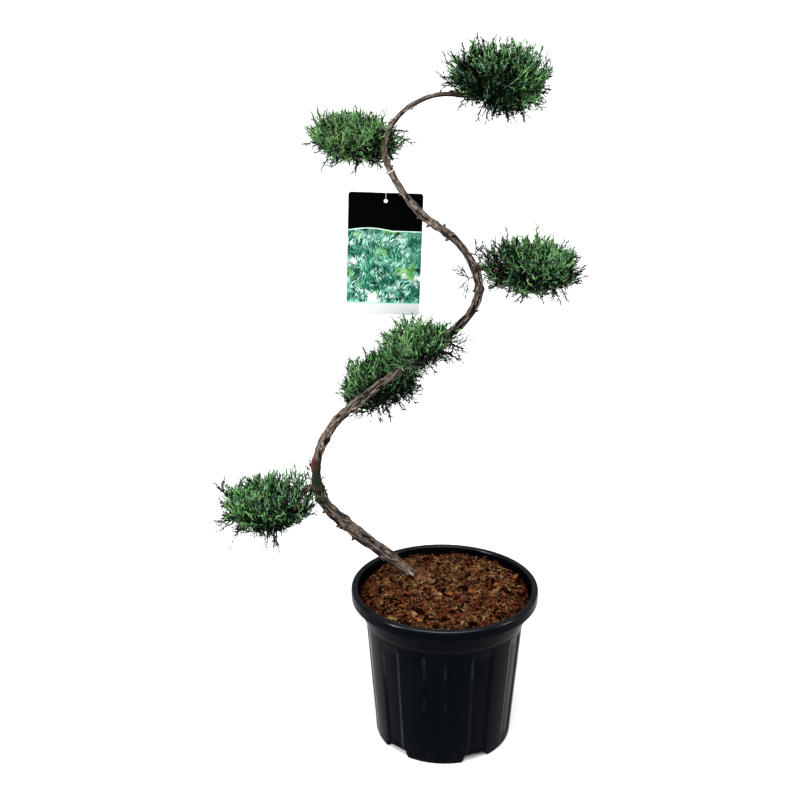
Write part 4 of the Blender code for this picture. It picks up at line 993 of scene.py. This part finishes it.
OPEN_PLACES = {
    # pad: thin places where the sky shows through, as x, z, their reach and the share of sprays left
    "foliage_lower_left": (
        (-222, 390, 20, 0.7), (-204, 384, 20, 0.6), (-156, 362, 17, 0.0), (-300, 385, 22, 0.3),
        (-265, 296, 18, 0.5)),
    "foliage_lower_middle": ((-60, 548, 20, 0.6), (-70, 464, 26, 0.4), (-110, 464, 18, 0.4)),
    "foliage_middle": ((6, 562, 26, 0.35), (12, 586, 24, 0.5), (10, 606, 17, 0.15), (-20, 553, 16, 0.5)),
    "foliage_right": ((46, 702, 24, 0.5), (60, 640, 18, 0.5), (158, 662, 16, 0.6)),
    "foliage_upper_left": ((-60, 800, 18, 0.6),),
    "foliage_top": ((10, 880, 22, 0.7), (-4, 900, 14, 0.7)),
}
WISPS = {
    # pad: thin twigs that stand out of its outline, as x and z where they leave it and x and z of their tips
    "foliage_lower_left": (
        (-310, 361, -300, 381), (-285, 367, -273, 381), (-265, 369, -253, 382), (-247, 371, -234, 385),
        (-229, 369, -230, 390), (-215, 369, -218, 394), (-204, 369, -205, 393), (-194, 367, -188, 388),
        (-188, 355, -181, 371), (-310, 355, -318, 359), (-285, 320, -316, 298), (-299, 318, -312, 306),
        (-282, 310, -299, 276), (-262, 304, -256, 282), (-239, 292, -238, 269), (-234, 292, -231, 270),
        (-246, 296, -249, 273), (-213, 318, -201, 315), (-202, 324, -177, 323), (-205, 326, -184, 331),
    ),
    "foliage_lower_middle": (
        (-109, 540, -111, 552), (-100, 543, -100, 553), (-128, 533, -132, 541), (-126, 498, -141, 501),
        (-129, 487, -150, 490), (-112, 472, -116, 449), (-100, 469, -102, 449), (-81, 468, -74, 449),
        (-66, 480, -53, 461), (-54, 491, -30, 490), (-50, 504, -34, 504), (-52, 485, -39, 477),
        (-89, 465, -88, 450),
    ),
    "foliage_middle": (
        (-57, 612, -57, 622), (-46, 615, -46, 626), (-37, 613, -35, 620), (-76, 594, -86, 594),
        (-75, 585, -87, 579), (-8, 606, 2, 611), (7, 593, 19, 598), (7, 583, 19, 579), (3, 572, 18, 561),
        (-4, 568, 7, 559), (-37, 556, -28, 542), (-26, 558, -15, 545), (-47, 554, -40, 539),
        (-68, 609, -73, 617),
    ),
    "foliage_right": (
        (74, 704, 73, 731), (70, 704, 66, 722), (78, 706, 81, 721), (110, 714, 109, 731),
        (131, 711, 131, 721), (97, 708, 100, 722), (145, 704, 147, 713), (155, 693, 167, 689),
        (150, 662, 177, 672), (156, 664, 168, 661), (143, 652, 152, 636), (134, 646, 133, 633),
        (94, 648, 85, 634), (75, 653, 74, 638), (64, 662, 54, 654), (51, 693, 34, 708),
        (53, 694, 42, 709), (58, 696, 54, 708), (51, 687, 37, 695), (117, 648, 121, 636),
    ),
    "foliage_upper_left": (
        (-172, 858, -171, 869), (-157, 863, -155, 872), (-134, 866, -133, 874), (-118, 867, -118, 880),
        (-112, 864, -111, 872), (-100, 861, -99, 869), (-86, 852, -79, 876), (-169, 846, -178, 852),
        (-165, 836, -183, 829), (-159, 823, -170, 817), (-148, 819, -161, 801), (-127, 815, -153, 802),
        (-112, 812, -122, 793), (-60, 839, -46, 830), (-73, 822, -71, 810), (-100, 814, -97, 802),
        (-137, 815, -143, 805),
    ),
    "foliage_top": (
        (5, 912, -13, 915), (6, 907, -10, 903), (4, 919, -3, 924), (37, 952, 36, 961), (56, 953, 58, 961),
        (67, 953, 67, 961), (73, 953, 71, 962), (16, 949, 12, 956), (94, 944, 94, 953), (106, 940, 110, 952),
        (115, 912, 122, 915), (112, 900, 123, 900), (46, 881, 43, 863), (66, 875, 70, 861), (84, 876, 90, 861),
        (18, 893, 10, 876), (23, 892, 26, 881), (106, 889, 115, 884), (54, 877, 49, 865), (77, 876, 79, 863),
    ),
}
PATCHES = {
    # pad: places whose sprays share a tint, as x and z, how far each reaches, and what it adds to painted
    # light, blue and olive
    "foliage_lower_left": (
        (-285, 352, 28, 0.35, -0.3, 0), (-222, 362, 30, 0.2, 0.6, -0.5), (-245, 314, 32, -0.7, -0.3, 0.5)),
    "foliage_lower_middle": (
        (-122, 514, 28, 0.8, 0, 0), (-80, 481, 33, -1.6, -0.3, 0), (-60, 495, 20, -0.4, 0, 0)),
    "foliage_middle": (
        (-60, 598, 27, 0.8, 0, 0), (-12, 588, 20, -0.5, 0, 0.3), (-14, 564, 26, -0.6, 0.2, 0.1)),
    "foliage_right": (
        (132, 694, 30, 0.55, 0, -0.2), (75, 680, 28, -0.1, 0.5, 0.2), (145, 660, 24, -0.8, 0, 0.3)),
    "foliage_upper_left": (
        (-148, 852, 26, 0.5, -0.2, 0.4), (-118, 838, 60, -0.12, -0.2, 0.45), (-104, 850, 24, 0.6, 0, 0),
        (-93, 829, 17, -1.2, 0, 0)),
    "foliage_top": (
        (60, 948, 40, 0.6, -0.2, 0.1), (36, 912, 28, -0.8, 0.1, 0), (100, 892, 28, 0.8, 0, -0.1)),
}
PAD_LIGHT = {
    # pad: how much more of its cords are pale, as painted light
    "foliage_lower_left": -0.28, "foliage_lower_middle": 0.0, "foliage_middle": 0.0, "foliage_right": -0.15,
    "foliage_upper_left": 0.2, "foliage_top": -0.62,
}
WOOD = {
    # kind: how many and how uneven their ways, the share of the skin that they reach, how many samples back
    # on their parent they root, bend, rings, radius at the root in millimetres and share of it at the tip
    "branch": (15, 0.2, (0.55, 0.70), 3, 0.12, 8, (1.1, 1.7), 0.5),
    "twig": (110, 0.12, (0.68, 0.84), 1, 0.12, 7, (0.65, 0.95), 0.6),
    "dead twig": (16, 0.4, (0.9, 1.06), 1, 0.22, 9, (0.35, 0.6), 0.5),
}
SPRAY_LENGTHS, LEAST_LENGTH, STRAYS = (22, 36), 9, 0.05      # millimetres, and a share of the sprays


def grown(kind, pad, parents, rng, clear=False):
    """Paths and radii of wood that forks from its parents towards a pad's skin, spread evenly over it."""
    count, jitter, shares, back, bend, rings, radii, thin = WOOD[kind]
    ways = spread_ways(count, jitter, rng)
    ends = skin_point(pad, ways, rng.uniform(*shares, count) * body_reach(pad, ways))
    roots = nearest_root(parents, ends, back)
    if clear:
        keep = clear_of_others(pad, between(roots, ends, (0.35, 0.6, 0.8, 1.0)))
        roots, ends = roots[keep], ends[keep]
    paths = curve_at(roots, forked(roots, ends, bend, rng), ends, np.linspace(0, 1, rings)[None])
    return paths, rng.uniform(*radii, (len(roots), 1)) * np.linspace(1, thin, rings) * MM


for number, pad in enumerate(PADS):
    rng = np.random.default_rng(700 + number)
    branches, branch_radii = grown("branch", pad, spines[pad][0][None, SPINE_RINGS], rng)
    twigs, twig_radii = grown("twig", pad, branches, rng)
    bearers = np.concatenate([twigs, branches[:, :7]])

    # A spray's tip lies in the outer half of the pad, and the spray comes to it from within and below. A few
    # strays stand out of the pad.
    count = OUTLINES[pad][0]
    ways = spread_ways(count, 0.12, rng)
    share = 0.50 + 0.52 * rng.uniform(0, 1, count) ** 0.55
    share = np.where(rng.uniform(0, 1, count) < STRAYS, rng.uniform(1.02, 1.16, count), share)
    ragged = 1 + 0.11 * value_noise(ways * 2.9 + 5, 41 + number)
    tips = skin_point(pad, ways, share * ragged * body_reach(pad, ways))
    upward = np.interp(ways[:, 2], [-1, -0.5, 0.2, 1], [-0.25, 0.05, 0.6, 0.8])[:, None] * (0, 0, 1)
    growth = unit(ways * (0.8, 0.4, 0.7) + upward + rng.normal(0, 0.33, (count, 3)))
    length = rng.uniform(*SPRAY_LENGTHS, (count, 1)) * MM
    knees = tips - growth * length * 0.62
    roots = nearest_root(bearers, tips - growth * length * 1.1, 0)
    keep = np.linalg.norm(tips - roots, axis=1) > LEAST_LENGTH * MM
    keep &= clear_of_others(pad, between(knees, tips, (0.2, 0.5, 0.8, 1.0)))
    for x, z, reach, left in OPEN_PLACES[pad]:
        near = np.hypot(tips[:, 0] - x * MM, tips[:, 2] - z * MM) < reach * MM
        keep &= ~near | (rng.uniform(0, 1, count) < left)

    # Wisps stand out of the pad's outline, each with a shorter one beside it, at about the pad's own depth.
    wisps = np.array(WISPS[pad]) * MM
    beside = wisps + np.tile(rng.normal(0, 4.5 * MM, (len(wisps), 2)), 2)
    beside[:, 2:] = beside[:, :2] + (beside[:, 2:] - beside[:, :2]) * rng.uniform(0.45, 0.95, (len(wisps), 1))
    wisps = np.concatenate([wisps, beside])
    depth = PADS[pad][0][1] * MM + rng.normal(0, 6 * MM, (len(wisps), 1))
    knees_out = np.hstack([wisps[:, :1], depth, wisps[:, 1:2]])
    tips_out = np.hstack([wisps[:, 2:3], depth, wisps[:, 3:]])
    roots_out = nearest_root(bearers, knees_out * 1.5 - tips_out * 0.5, 1)
    knees_out = knees_out + rng.normal(0, 1.8 * MM, knees_out.shape)
    both = (roots, roots_out), (knees, knees_out), (tips, tips_out)
    roots, knees, tips = (np.concatenate([body[keep], out]) for body, out in both)
    in_body, in_wisps = np.ones(keep.sum()), np.ones(len(wisps))
    share = np.append(share[keep], 1.1 * in_wisps)
    bushy = np.append(in_body, rng.uniform(0.5, 0.85, len(wisps)))
    cords = spray_cords(roots, knees, tips, rng, np.append(1.12 * in_body, 1.2 * in_wisps), bushy)

    # How light, blue and olive each side cord is goes by its height and its place in the pad, by soft patches
    # of a few centimetres and by chance; the outermost tips are darker again. Its lightness is painted light
    # and shade: lighter high up, and painted shade deep inside the pad.
    side_tips = cords[1][0][:, -1]
    centre, _, _, up, _, _ = PADS[pad]
    height = (side_tips[:, 2] / MM - centre[2]) / up
    share = np.repeat(share, SIDE_CORDS)
    light = height * 0.9 + 0.5 * value_noise(side_tips / 0.026, 51 + number) + (share - 0.88) * 3.6
    light = light + rng.normal(0, 0.95, len(share)) + PAD_LIGHT[pad] - 1.2 * (share > 1.02)
    bluish = 0.5 * value_noise(side_tips / 0.030 + 7, 61 + number) + rng.normal(0, 0.6, len(share))
    olive = 0.5 * value_noise(side_tips / 0.030 + 3, 71 + number) + rng.normal(0, 0.6, len(share))
    olive = olive - 0.5 * height
    for x, z, reach, *more in PATCHES[pad]:
        near = np.exp(-(((side_tips[:, 0] / MM - x) / reach) ** 2) - ((side_tips[:, 2] / MM - z) / reach) ** 2)
        light, bluish, olive = (value + near * extra for value, extra in zip((light, bluish, olive), more))

    for tint in GREENS:
        batches = []
        # Axes are painted a step darker, as shade, and fine cords a step lighter, as highlights.
        for (paths, radii, cord), painted_light_step in zip(cords, (-0.4, 0.0, 0.5)):
            lit = light[cord] + painted_light_step
            blue, yellowed = (bluish[cord] > 0.85) & (lit > 0), (olive[cord] > 0.95) & (lit > -0.2)
            cases = lit < -0.35, blue, yellowed, lit > 1.05, lit > 0.25
            chosen = np.select(cases, ("shade", "blue", "olive", "lit_fresh", "mid"), "deep") == tint
            if chosen.any():
                batches.append(strands(paths[chosen], radii[chosen], CORD_SIDES))
        piece = mesh_piece(f"{pad}_{tint}", *joined(batches), green_finishes[tint])
        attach(piece, "plant")
        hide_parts(pad)

    wood = [strands(branches, branch_radii, 5), strands(twigs, twig_radii, 4)]
    twig_piece = mesh_piece(f"{pad}_twigs", *joined(wood), twig_finish)
    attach(twig_piece, "plant")
    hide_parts(pad)

    dead = strands(*grown("dead twig", pad, branches, rng, clear=True), 4)
    dead_piece = mesh_piece(f"{pad}_dead_twigs", *dead, dead_finish)
    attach(dead_piece, "plant")

# Shoots on the bare trunk.
# A sparse shoot on the inner side of the second bend, and a few sprigs that sprout straight from old bark.
SPRIGS = (
    # place on the trunk, then the fork and the tips of its sprays, in millimetres
    (BEND_2 + 0.1, (25.5, -4, 667), ((12, -9, 684), (11, -4, 672), (14, -3, 653), (21, -8, 643), (6, -7, 679))),
    (BEND_2 + 0.75, (33, -3, 697), ((33, -6, 716), (42, -4, 708), (48, -6, 696), (40, -2, 688))),
    (BEND_1 - 0.35, (-176, 14, 372), ((-164, 9, 388), (-176, 8, 396), (-186, 10, 390), (-168, 10, 376))),
    (BEND_1 + 0.05, (-180, 15, 390), ((-172, 10, 408), (-184, 12, 410), (-190, 14, 400))),
)
rng = np.random.default_rng(81)
stems, spray_roots, spray_tips = [], [], []
for place, fork, sprays in SPRIGS:
    root, fork = trunk_at(place)[0], np.array(fork) * MM
    knee = (root + fork) / 2 + (0, 0, 1 * MM)
    stems.append(curve_at(root[None], knee[None], fork[None], np.linspace(0, 1, 7)[None]))
    spray_roots += [fork] * len(sprays)
    spray_tips += [np.array(tip) * MM for tip in sprays]
stem_paths = np.concatenate(stems)
stem_radii = np.tile(np.linspace(1.3, 0.8, 7) * MM, (len(stem_paths), 1))
sprig_stems = mesh_piece("sprig_stems", *strands(stem_paths, stem_radii, 6), twig_finish)
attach(sprig_stems, "plant")
spray_roots, spray_tips = np.array(spray_roots), np.array(spray_tips)
cords = spray_cords(spray_roots, forked(spray_roots, spray_tips, 0.1, rng), spray_tips, rng, 0.9)
leaves = joined([strands(paths, radii, CORD_SIDES) for paths, radii, _ in cords])
sprig_leaves = mesh_piece("sprig_leaves", *leaves, green_finishes["deep"])
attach(sprig_leaves, "plant")
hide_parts("shoot_inner_bend")

# Tie.
# A white cotton cord that goes twice round the trunk and ends in a knot with two short tails.
PLIES, ROUND_CORD = 3, 8
TIE_PLACE = BEND_3 - 0.8
KNOT_CENTRE = LABEL_PIVOT + (0, 0, 2.35 * MM)
TAILS = (
    # where each tail leaves the knot, bends and ends, in millimetres from its middle
    ((0.4, -0.8, 0), (3.2, -2.6, -1.6), (6.5, -3.6, -5.2)),
    ((-0.4, -0.8, 0), (-2.8, -2.4, -0.2), (-6.4, -3.2, -2.4)),
)
string_finish = tinted(
    "white_cotton_string", (0.44, 0.43, 0.40), (0.28, 0.27, 0.25), 0.8, 0.2, 900, 0.8, 0.0002)


def laid_cord(path, radius, pitch=2.4 * MM):
    """A cord along a path: its radius swells by each of its plies, which wind round it once every pitch."""
    around = np.arange(ROUND_CORD) / ROUND_CORD * math.tau
    swell = np.abs(np.cos((around + lengths_along(path)[:, None] / pitch * math.tau) * PLIES / 2))
    return strands(path[None], radius * (0.82 + 0.26 * swell)[None], ROUND_CORD)


centre, trunk_radius = trunk_at(TIE_PLACE)
ahead = trunk_way(TIE_PLACE)
level = unit(np.cross(ahead, (0, 1, 0)))
turn = np.linspace(0, 2, 150) * math.tau
wind = level * np.cos(turn)[:, None] + np.cross(ahead, level) * np.sin(turn)[:, None]
loops = centre + wind * (trunk_radius + 0.75 * MM) + ahead * ((turn / turn[-1] - 0.5) * 1.3 * MM)[:, None]
turn = np.linspace(0, 1, 60) * math.tau
knot = KNOT_CENTRE + np.stack([
    (np.sin(turn) + 2 * np.sin(2 * turn)) * 0.42, np.sin(3 * turn) * 0.5,
    (np.cos(turn) - 2 * np.cos(2 * turn)) * 0.42], -1) * MM
batches = [laid_cord(loops, 0.5 * MM), laid_cord(knot, 0.48 * MM)]
for tail in TAILS:
    points = (KNOT_CENTRE[None] + np.array(point) * MM for point in tail)
    batches.append(laid_cord(curve_at(*points, np.linspace(0, 1, 24)[None])[0], 0.42 * MM))
tie = mesh_piece("label_tie_cord", *joined(batches), string_finish)
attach(tie, "plant")
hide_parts("label_tie")

# String.
# The same cord, finer: a loop that hangs from the tie's knot, goes through the hole in the label from the
# front and comes up again behind it.
ROLL = math.radians(1.8)
DROP, SPREAD = 30.35, 1.4      # millimetres
STRING_ROUTE = np.array([
    # share of the spread to the front, and of the drop, from the knot round through the hole and back
    (0, 0), (0.5, 0.1), (1, 0.45), (1, 0.94), (0.55, 1), (-0.55, 1), (-1, 0.94), (-1, 0.45), (-0.5, 0.1),
])


def hung(x, y, z):
    """Points given from the pivot that the label hangs from, in metres, turned by its slight roll."""
    across, up = x * math.cos(ROLL) + z * math.sin(ROLL), -x * math.sin(ROLL) + z * math.cos(ROLL)
    return np.stack([across, y + 0 * x, up], -1) + LABEL_PIVOT


loop = np.concatenate([STRING_ROUTE[-2:], STRING_ROUTE, STRING_ROUTE[:3]])
loop = np.column_stack([0 * loop[:, 0], -loop[:, 0] * SPREAD, -loop[:, 1] * DROP])
loop = along_curve(loop, np.linspace(0, len(loop) - 1, 200))[28:-28] * MM
cord = laid_cord(hung(*loop.T), 0.43 * MM, 2.0 * MM)
string = mesh_piece("label_string_cord", *cord, string_finish)
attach(string, "hanging_label")
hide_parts("label_string")

# Label.
# A stiff printed card of white polypropylene, 94 by 158 mm and 0.8 mm thick, with round corners and one
# punched hole. Its front has a black head, a printed picture of blue-green foliage and a white foot.
CARD_WIDTH, CARD_HEIGHT, CARD_THICK, CARD_CORNER = 94 * MM, 158 * MM, 0.8 * MM, 4 * MM
HOLE_RADIUS, HOLE_DROP, STRING_DROP = 2.4 * MM, 10.5 * MM, 32 * MM
corner_turn = np.linspace(0, math.pi / 2, 9)
outline = []
for quarter, (sx, sz) in enumerate(((1, 1), (-1, 1), (-1, -1), (1, -1))):
    turn = corner_turn + quarter * math.pi / 2
    middle = np.array([sx * (CARD_WIDTH / 2 - CARD_CORNER), sz * (CARD_HEIGHT / 2 - CARD_CORNER)])
    outline.append(middle + CARD_CORNER * np.stack([np.cos(turn), np.sin(turn)], -1))
outline = np.concatenate(outline + [outline[0][:1]])
lengths = lengths_along(outline)
marks = np.union1d(lengths, np.linspace(0, lengths[-1], 121))[:-1]
outline = np.stack([np.interp(marks, lengths, column) for column in outline.T], 1)
hole_middle = np.array([0, CARD_HEIGHT / 2 - HOLE_DROP])
outwards = unit(outline - hole_middle)
hole_edge = hole_middle + outwards * HOLE_RADIUS
FRONT = (
    # share of the way from the hole to the edge, inset at the hole or the edge in millimetres, and share of
    # half the thickness, across the front; the back is the same from the edge to the hole
    (0, 0.0, 0.6), (0, -0.15, 1), (0.02, 0, 1), (0.1, 0, 1), (0.3, 0, 1), (0.6, 0, 1), (0.85, 0, 1),
    (1, 0.15, 1), (1, 0.0, 0.6),
)
share, inset, side = (np.array(column)[:, None] for column in zip(*FRONT, *FRONT[::-1]))
side = side * np.repeat([[-1], [1]], len(FRONT), axis=0)
flat = hole_edge * (1 - share[..., None]) + outline * share[..., None] - outwards * inset[..., None] * MM
bow = 0.9 * MM * (flat[..., 0] / (CARD_WIDTH / 2)) ** 2 * smooth_step((0.06 - flat[..., 1]) / 0.06)
card_y = side * CARD_THICK / 2 + bow
card_z = flat[..., 1] - STRING_DROP + HOLE_DROP - CARD_HEIGHT / 2
card_points = hung(flat[..., 0], card_y, card_z)

STROKES = (
    # turn in degrees, width and length of the printed strokes in card widths, and their colour
    (20, 0.014, 0.12, (0.008, 0.050, 0.036)), (-40, 0.012, 0.12, (0.015, 0.10, 0.070)),
    (65, 0.012, 0.10, (0.030, 0.15, 0.092)), (-75, 0.010, 0.09, (0.060, 0.23, 0.140)),
    (0, 0.009, 0.09, (0.10, 0.31, 0.20)), (40, 0.008, 0.08, (0.20, 0.44, 0.31)),
    (-25, 0.007, 0.08, (0.42, 0.68, 0.58)),
)


def printed_card():
    """The card's printed front: layers of fine slanted strokes in blue-greens under a black head.

    A layer is stretched noise, cut off to strokes, where a broader noise has its tufts. Lawn and stones show
    between them. Bands at the foot and a pale line under the arched head are drawn over them.
    """
    material, tree, shader = finish("printed_card", 0.3, 0.006)
    print_place = node(tree, "UVMap", {"uv_map": "print"}).outputs[0]
    soft = noise(tree, print_place, 6.0, 4.0)
    warp = node(tree, "TexNoise", Vector=print_place, Scale=3.2, Detail=2.0).outputs[1]
    bent = node(tree, "VectorMath", {"operation": "MULTIPLY_ADD"})
    for number, value in enumerate((warp, (0.22, 0.22, 0), print_place)):
        plug(tree, bent.inputs[number], value)
    colour = mixed(tree, spread(tree, soft, 0.40, 0.62), (0.0008, 0.006, 0.005), (0.010, 0.070, 0.048))
    for degrees, width, length, ink in STROKES:
        turned = node(tree, "Mapping", {"vector_type": "TEXTURE"}, Vector=bent.outputs[0])
        turned.inputs["Scale"].default_value = (width, length, 1)
        turned.inputs["Rotation"].default_value = (0, 0, math.radians(degrees))
        stroke = noise(tree, turned.outputs[0], 1.0, 0.0)
        aside = (degrees * 0.37, degrees * 0.11, 0)
        tuft = noise(tree, node(tree, "Mapping", Vector=print_place, Location=aside).outputs[0], 5.0, 1.0)
        drawn = maths(tree, "MULTIPLY", spread(tree, stroke, 0.585, 0.64), spread(tree, tuft, 0.485, 0.575))
        colour = mixed(tree, drawn, colour, ink)
    grass = mixed(tree, spread(tree, soft, 0.35, 0.65), (0.02, 0.11, 0.01), (0.24, 0.48, 0.09))
    lawn = spread(tree, noise(tree, print_place, 2.6, 3.0), 0.56, 0.66, 0, 0.7)
    colour = mixed(tree, lawn, colour, grass)
    stones = node(tree, "Mapping", Vector=print_place, Location=(3.1, 1.7, 0)).outputs[0]
    stones = spread(tree, noise(tree, stones, 3.4, 5.0, 0.6), 0.58, 0.63, 0, 0.85)
    colour = mixed(tree, stones, colour, mixed(tree, soft, (0.24, 0.24, 0.30), (0.66, 0.64, 0.66)))
    across, up = node(tree, "SeparateXYZ", Vector=print_place).outputs[:2]
    arch = maths(tree, "SINE", spread(tree, across, 0, 0.6, 0, math.pi))
    over = maths(tree, "SUBTRACT", up, maths(tree, "MULTIPLY_ADD", arch, 0.035, 1.168))
    colour = mixed(tree, spread(tree, over, -0.012, -0.010), colour, (0.46, 0.60, 0.52))
    colour = mixed(tree, spread(tree, over, -0.001, 0.001), colour, (0.0004, 0.0004, 0.0005))
    colour = mixed(tree, spread(tree, up, 0.172, 0.168), colour, (0.16, 0.42, 0.30))
    colour = mixed(tree, spread(tree, up, 0.160, 0.156), colour, (0.38, 0.39, 0.385))
    plug(tree, shader.inputs["Base Color"], colour)
    sheen = noise(tree, print_place, 40.0)
    plug(tree, shader.inputs["Roughness"], spread(tree, sheen, 0.3, 0.7, 0.26, 0.40))
    return material


card_back = tinted("white_card", (0.72, 0.72, 0.73), (0.64, 0.64, 0.65), 0.4, 0.5, 30, 0.1, 0.0002)
card_rows, card_columns = flat.shape[:2]
card_faces = grid_faces(card_rows, card_columns, closed_rows=True)
label = mesh_piece("label_card", card_points, card_faces, printed_card())
label.data.materials.append(card_back)
printed = np.repeat(np.arange(card_rows) < len(FRONT) - 2, card_columns)
label.data.polygons.foreach_set("material_index", np.where(printed, 0, 1).astype(np.int32))
corners = np.zeros(len(label.data.loops), np.int32)
label.data.loops.foreach_get("vertex_index", corners)
uv = np.stack([flat[..., 0], flat[..., 1] + CARD_HEIGHT / 2], -1).reshape(-1, 2) / CARD_WIDTH + (0.5, 0)
label.data.uv_layers.new(name="print").data.foreach_set("uv", uv[corners].astype(np.float32).ravel())
label.data.set_sharp_from_angle(angle=CREASE)
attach(label, "hanging_label")
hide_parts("label")
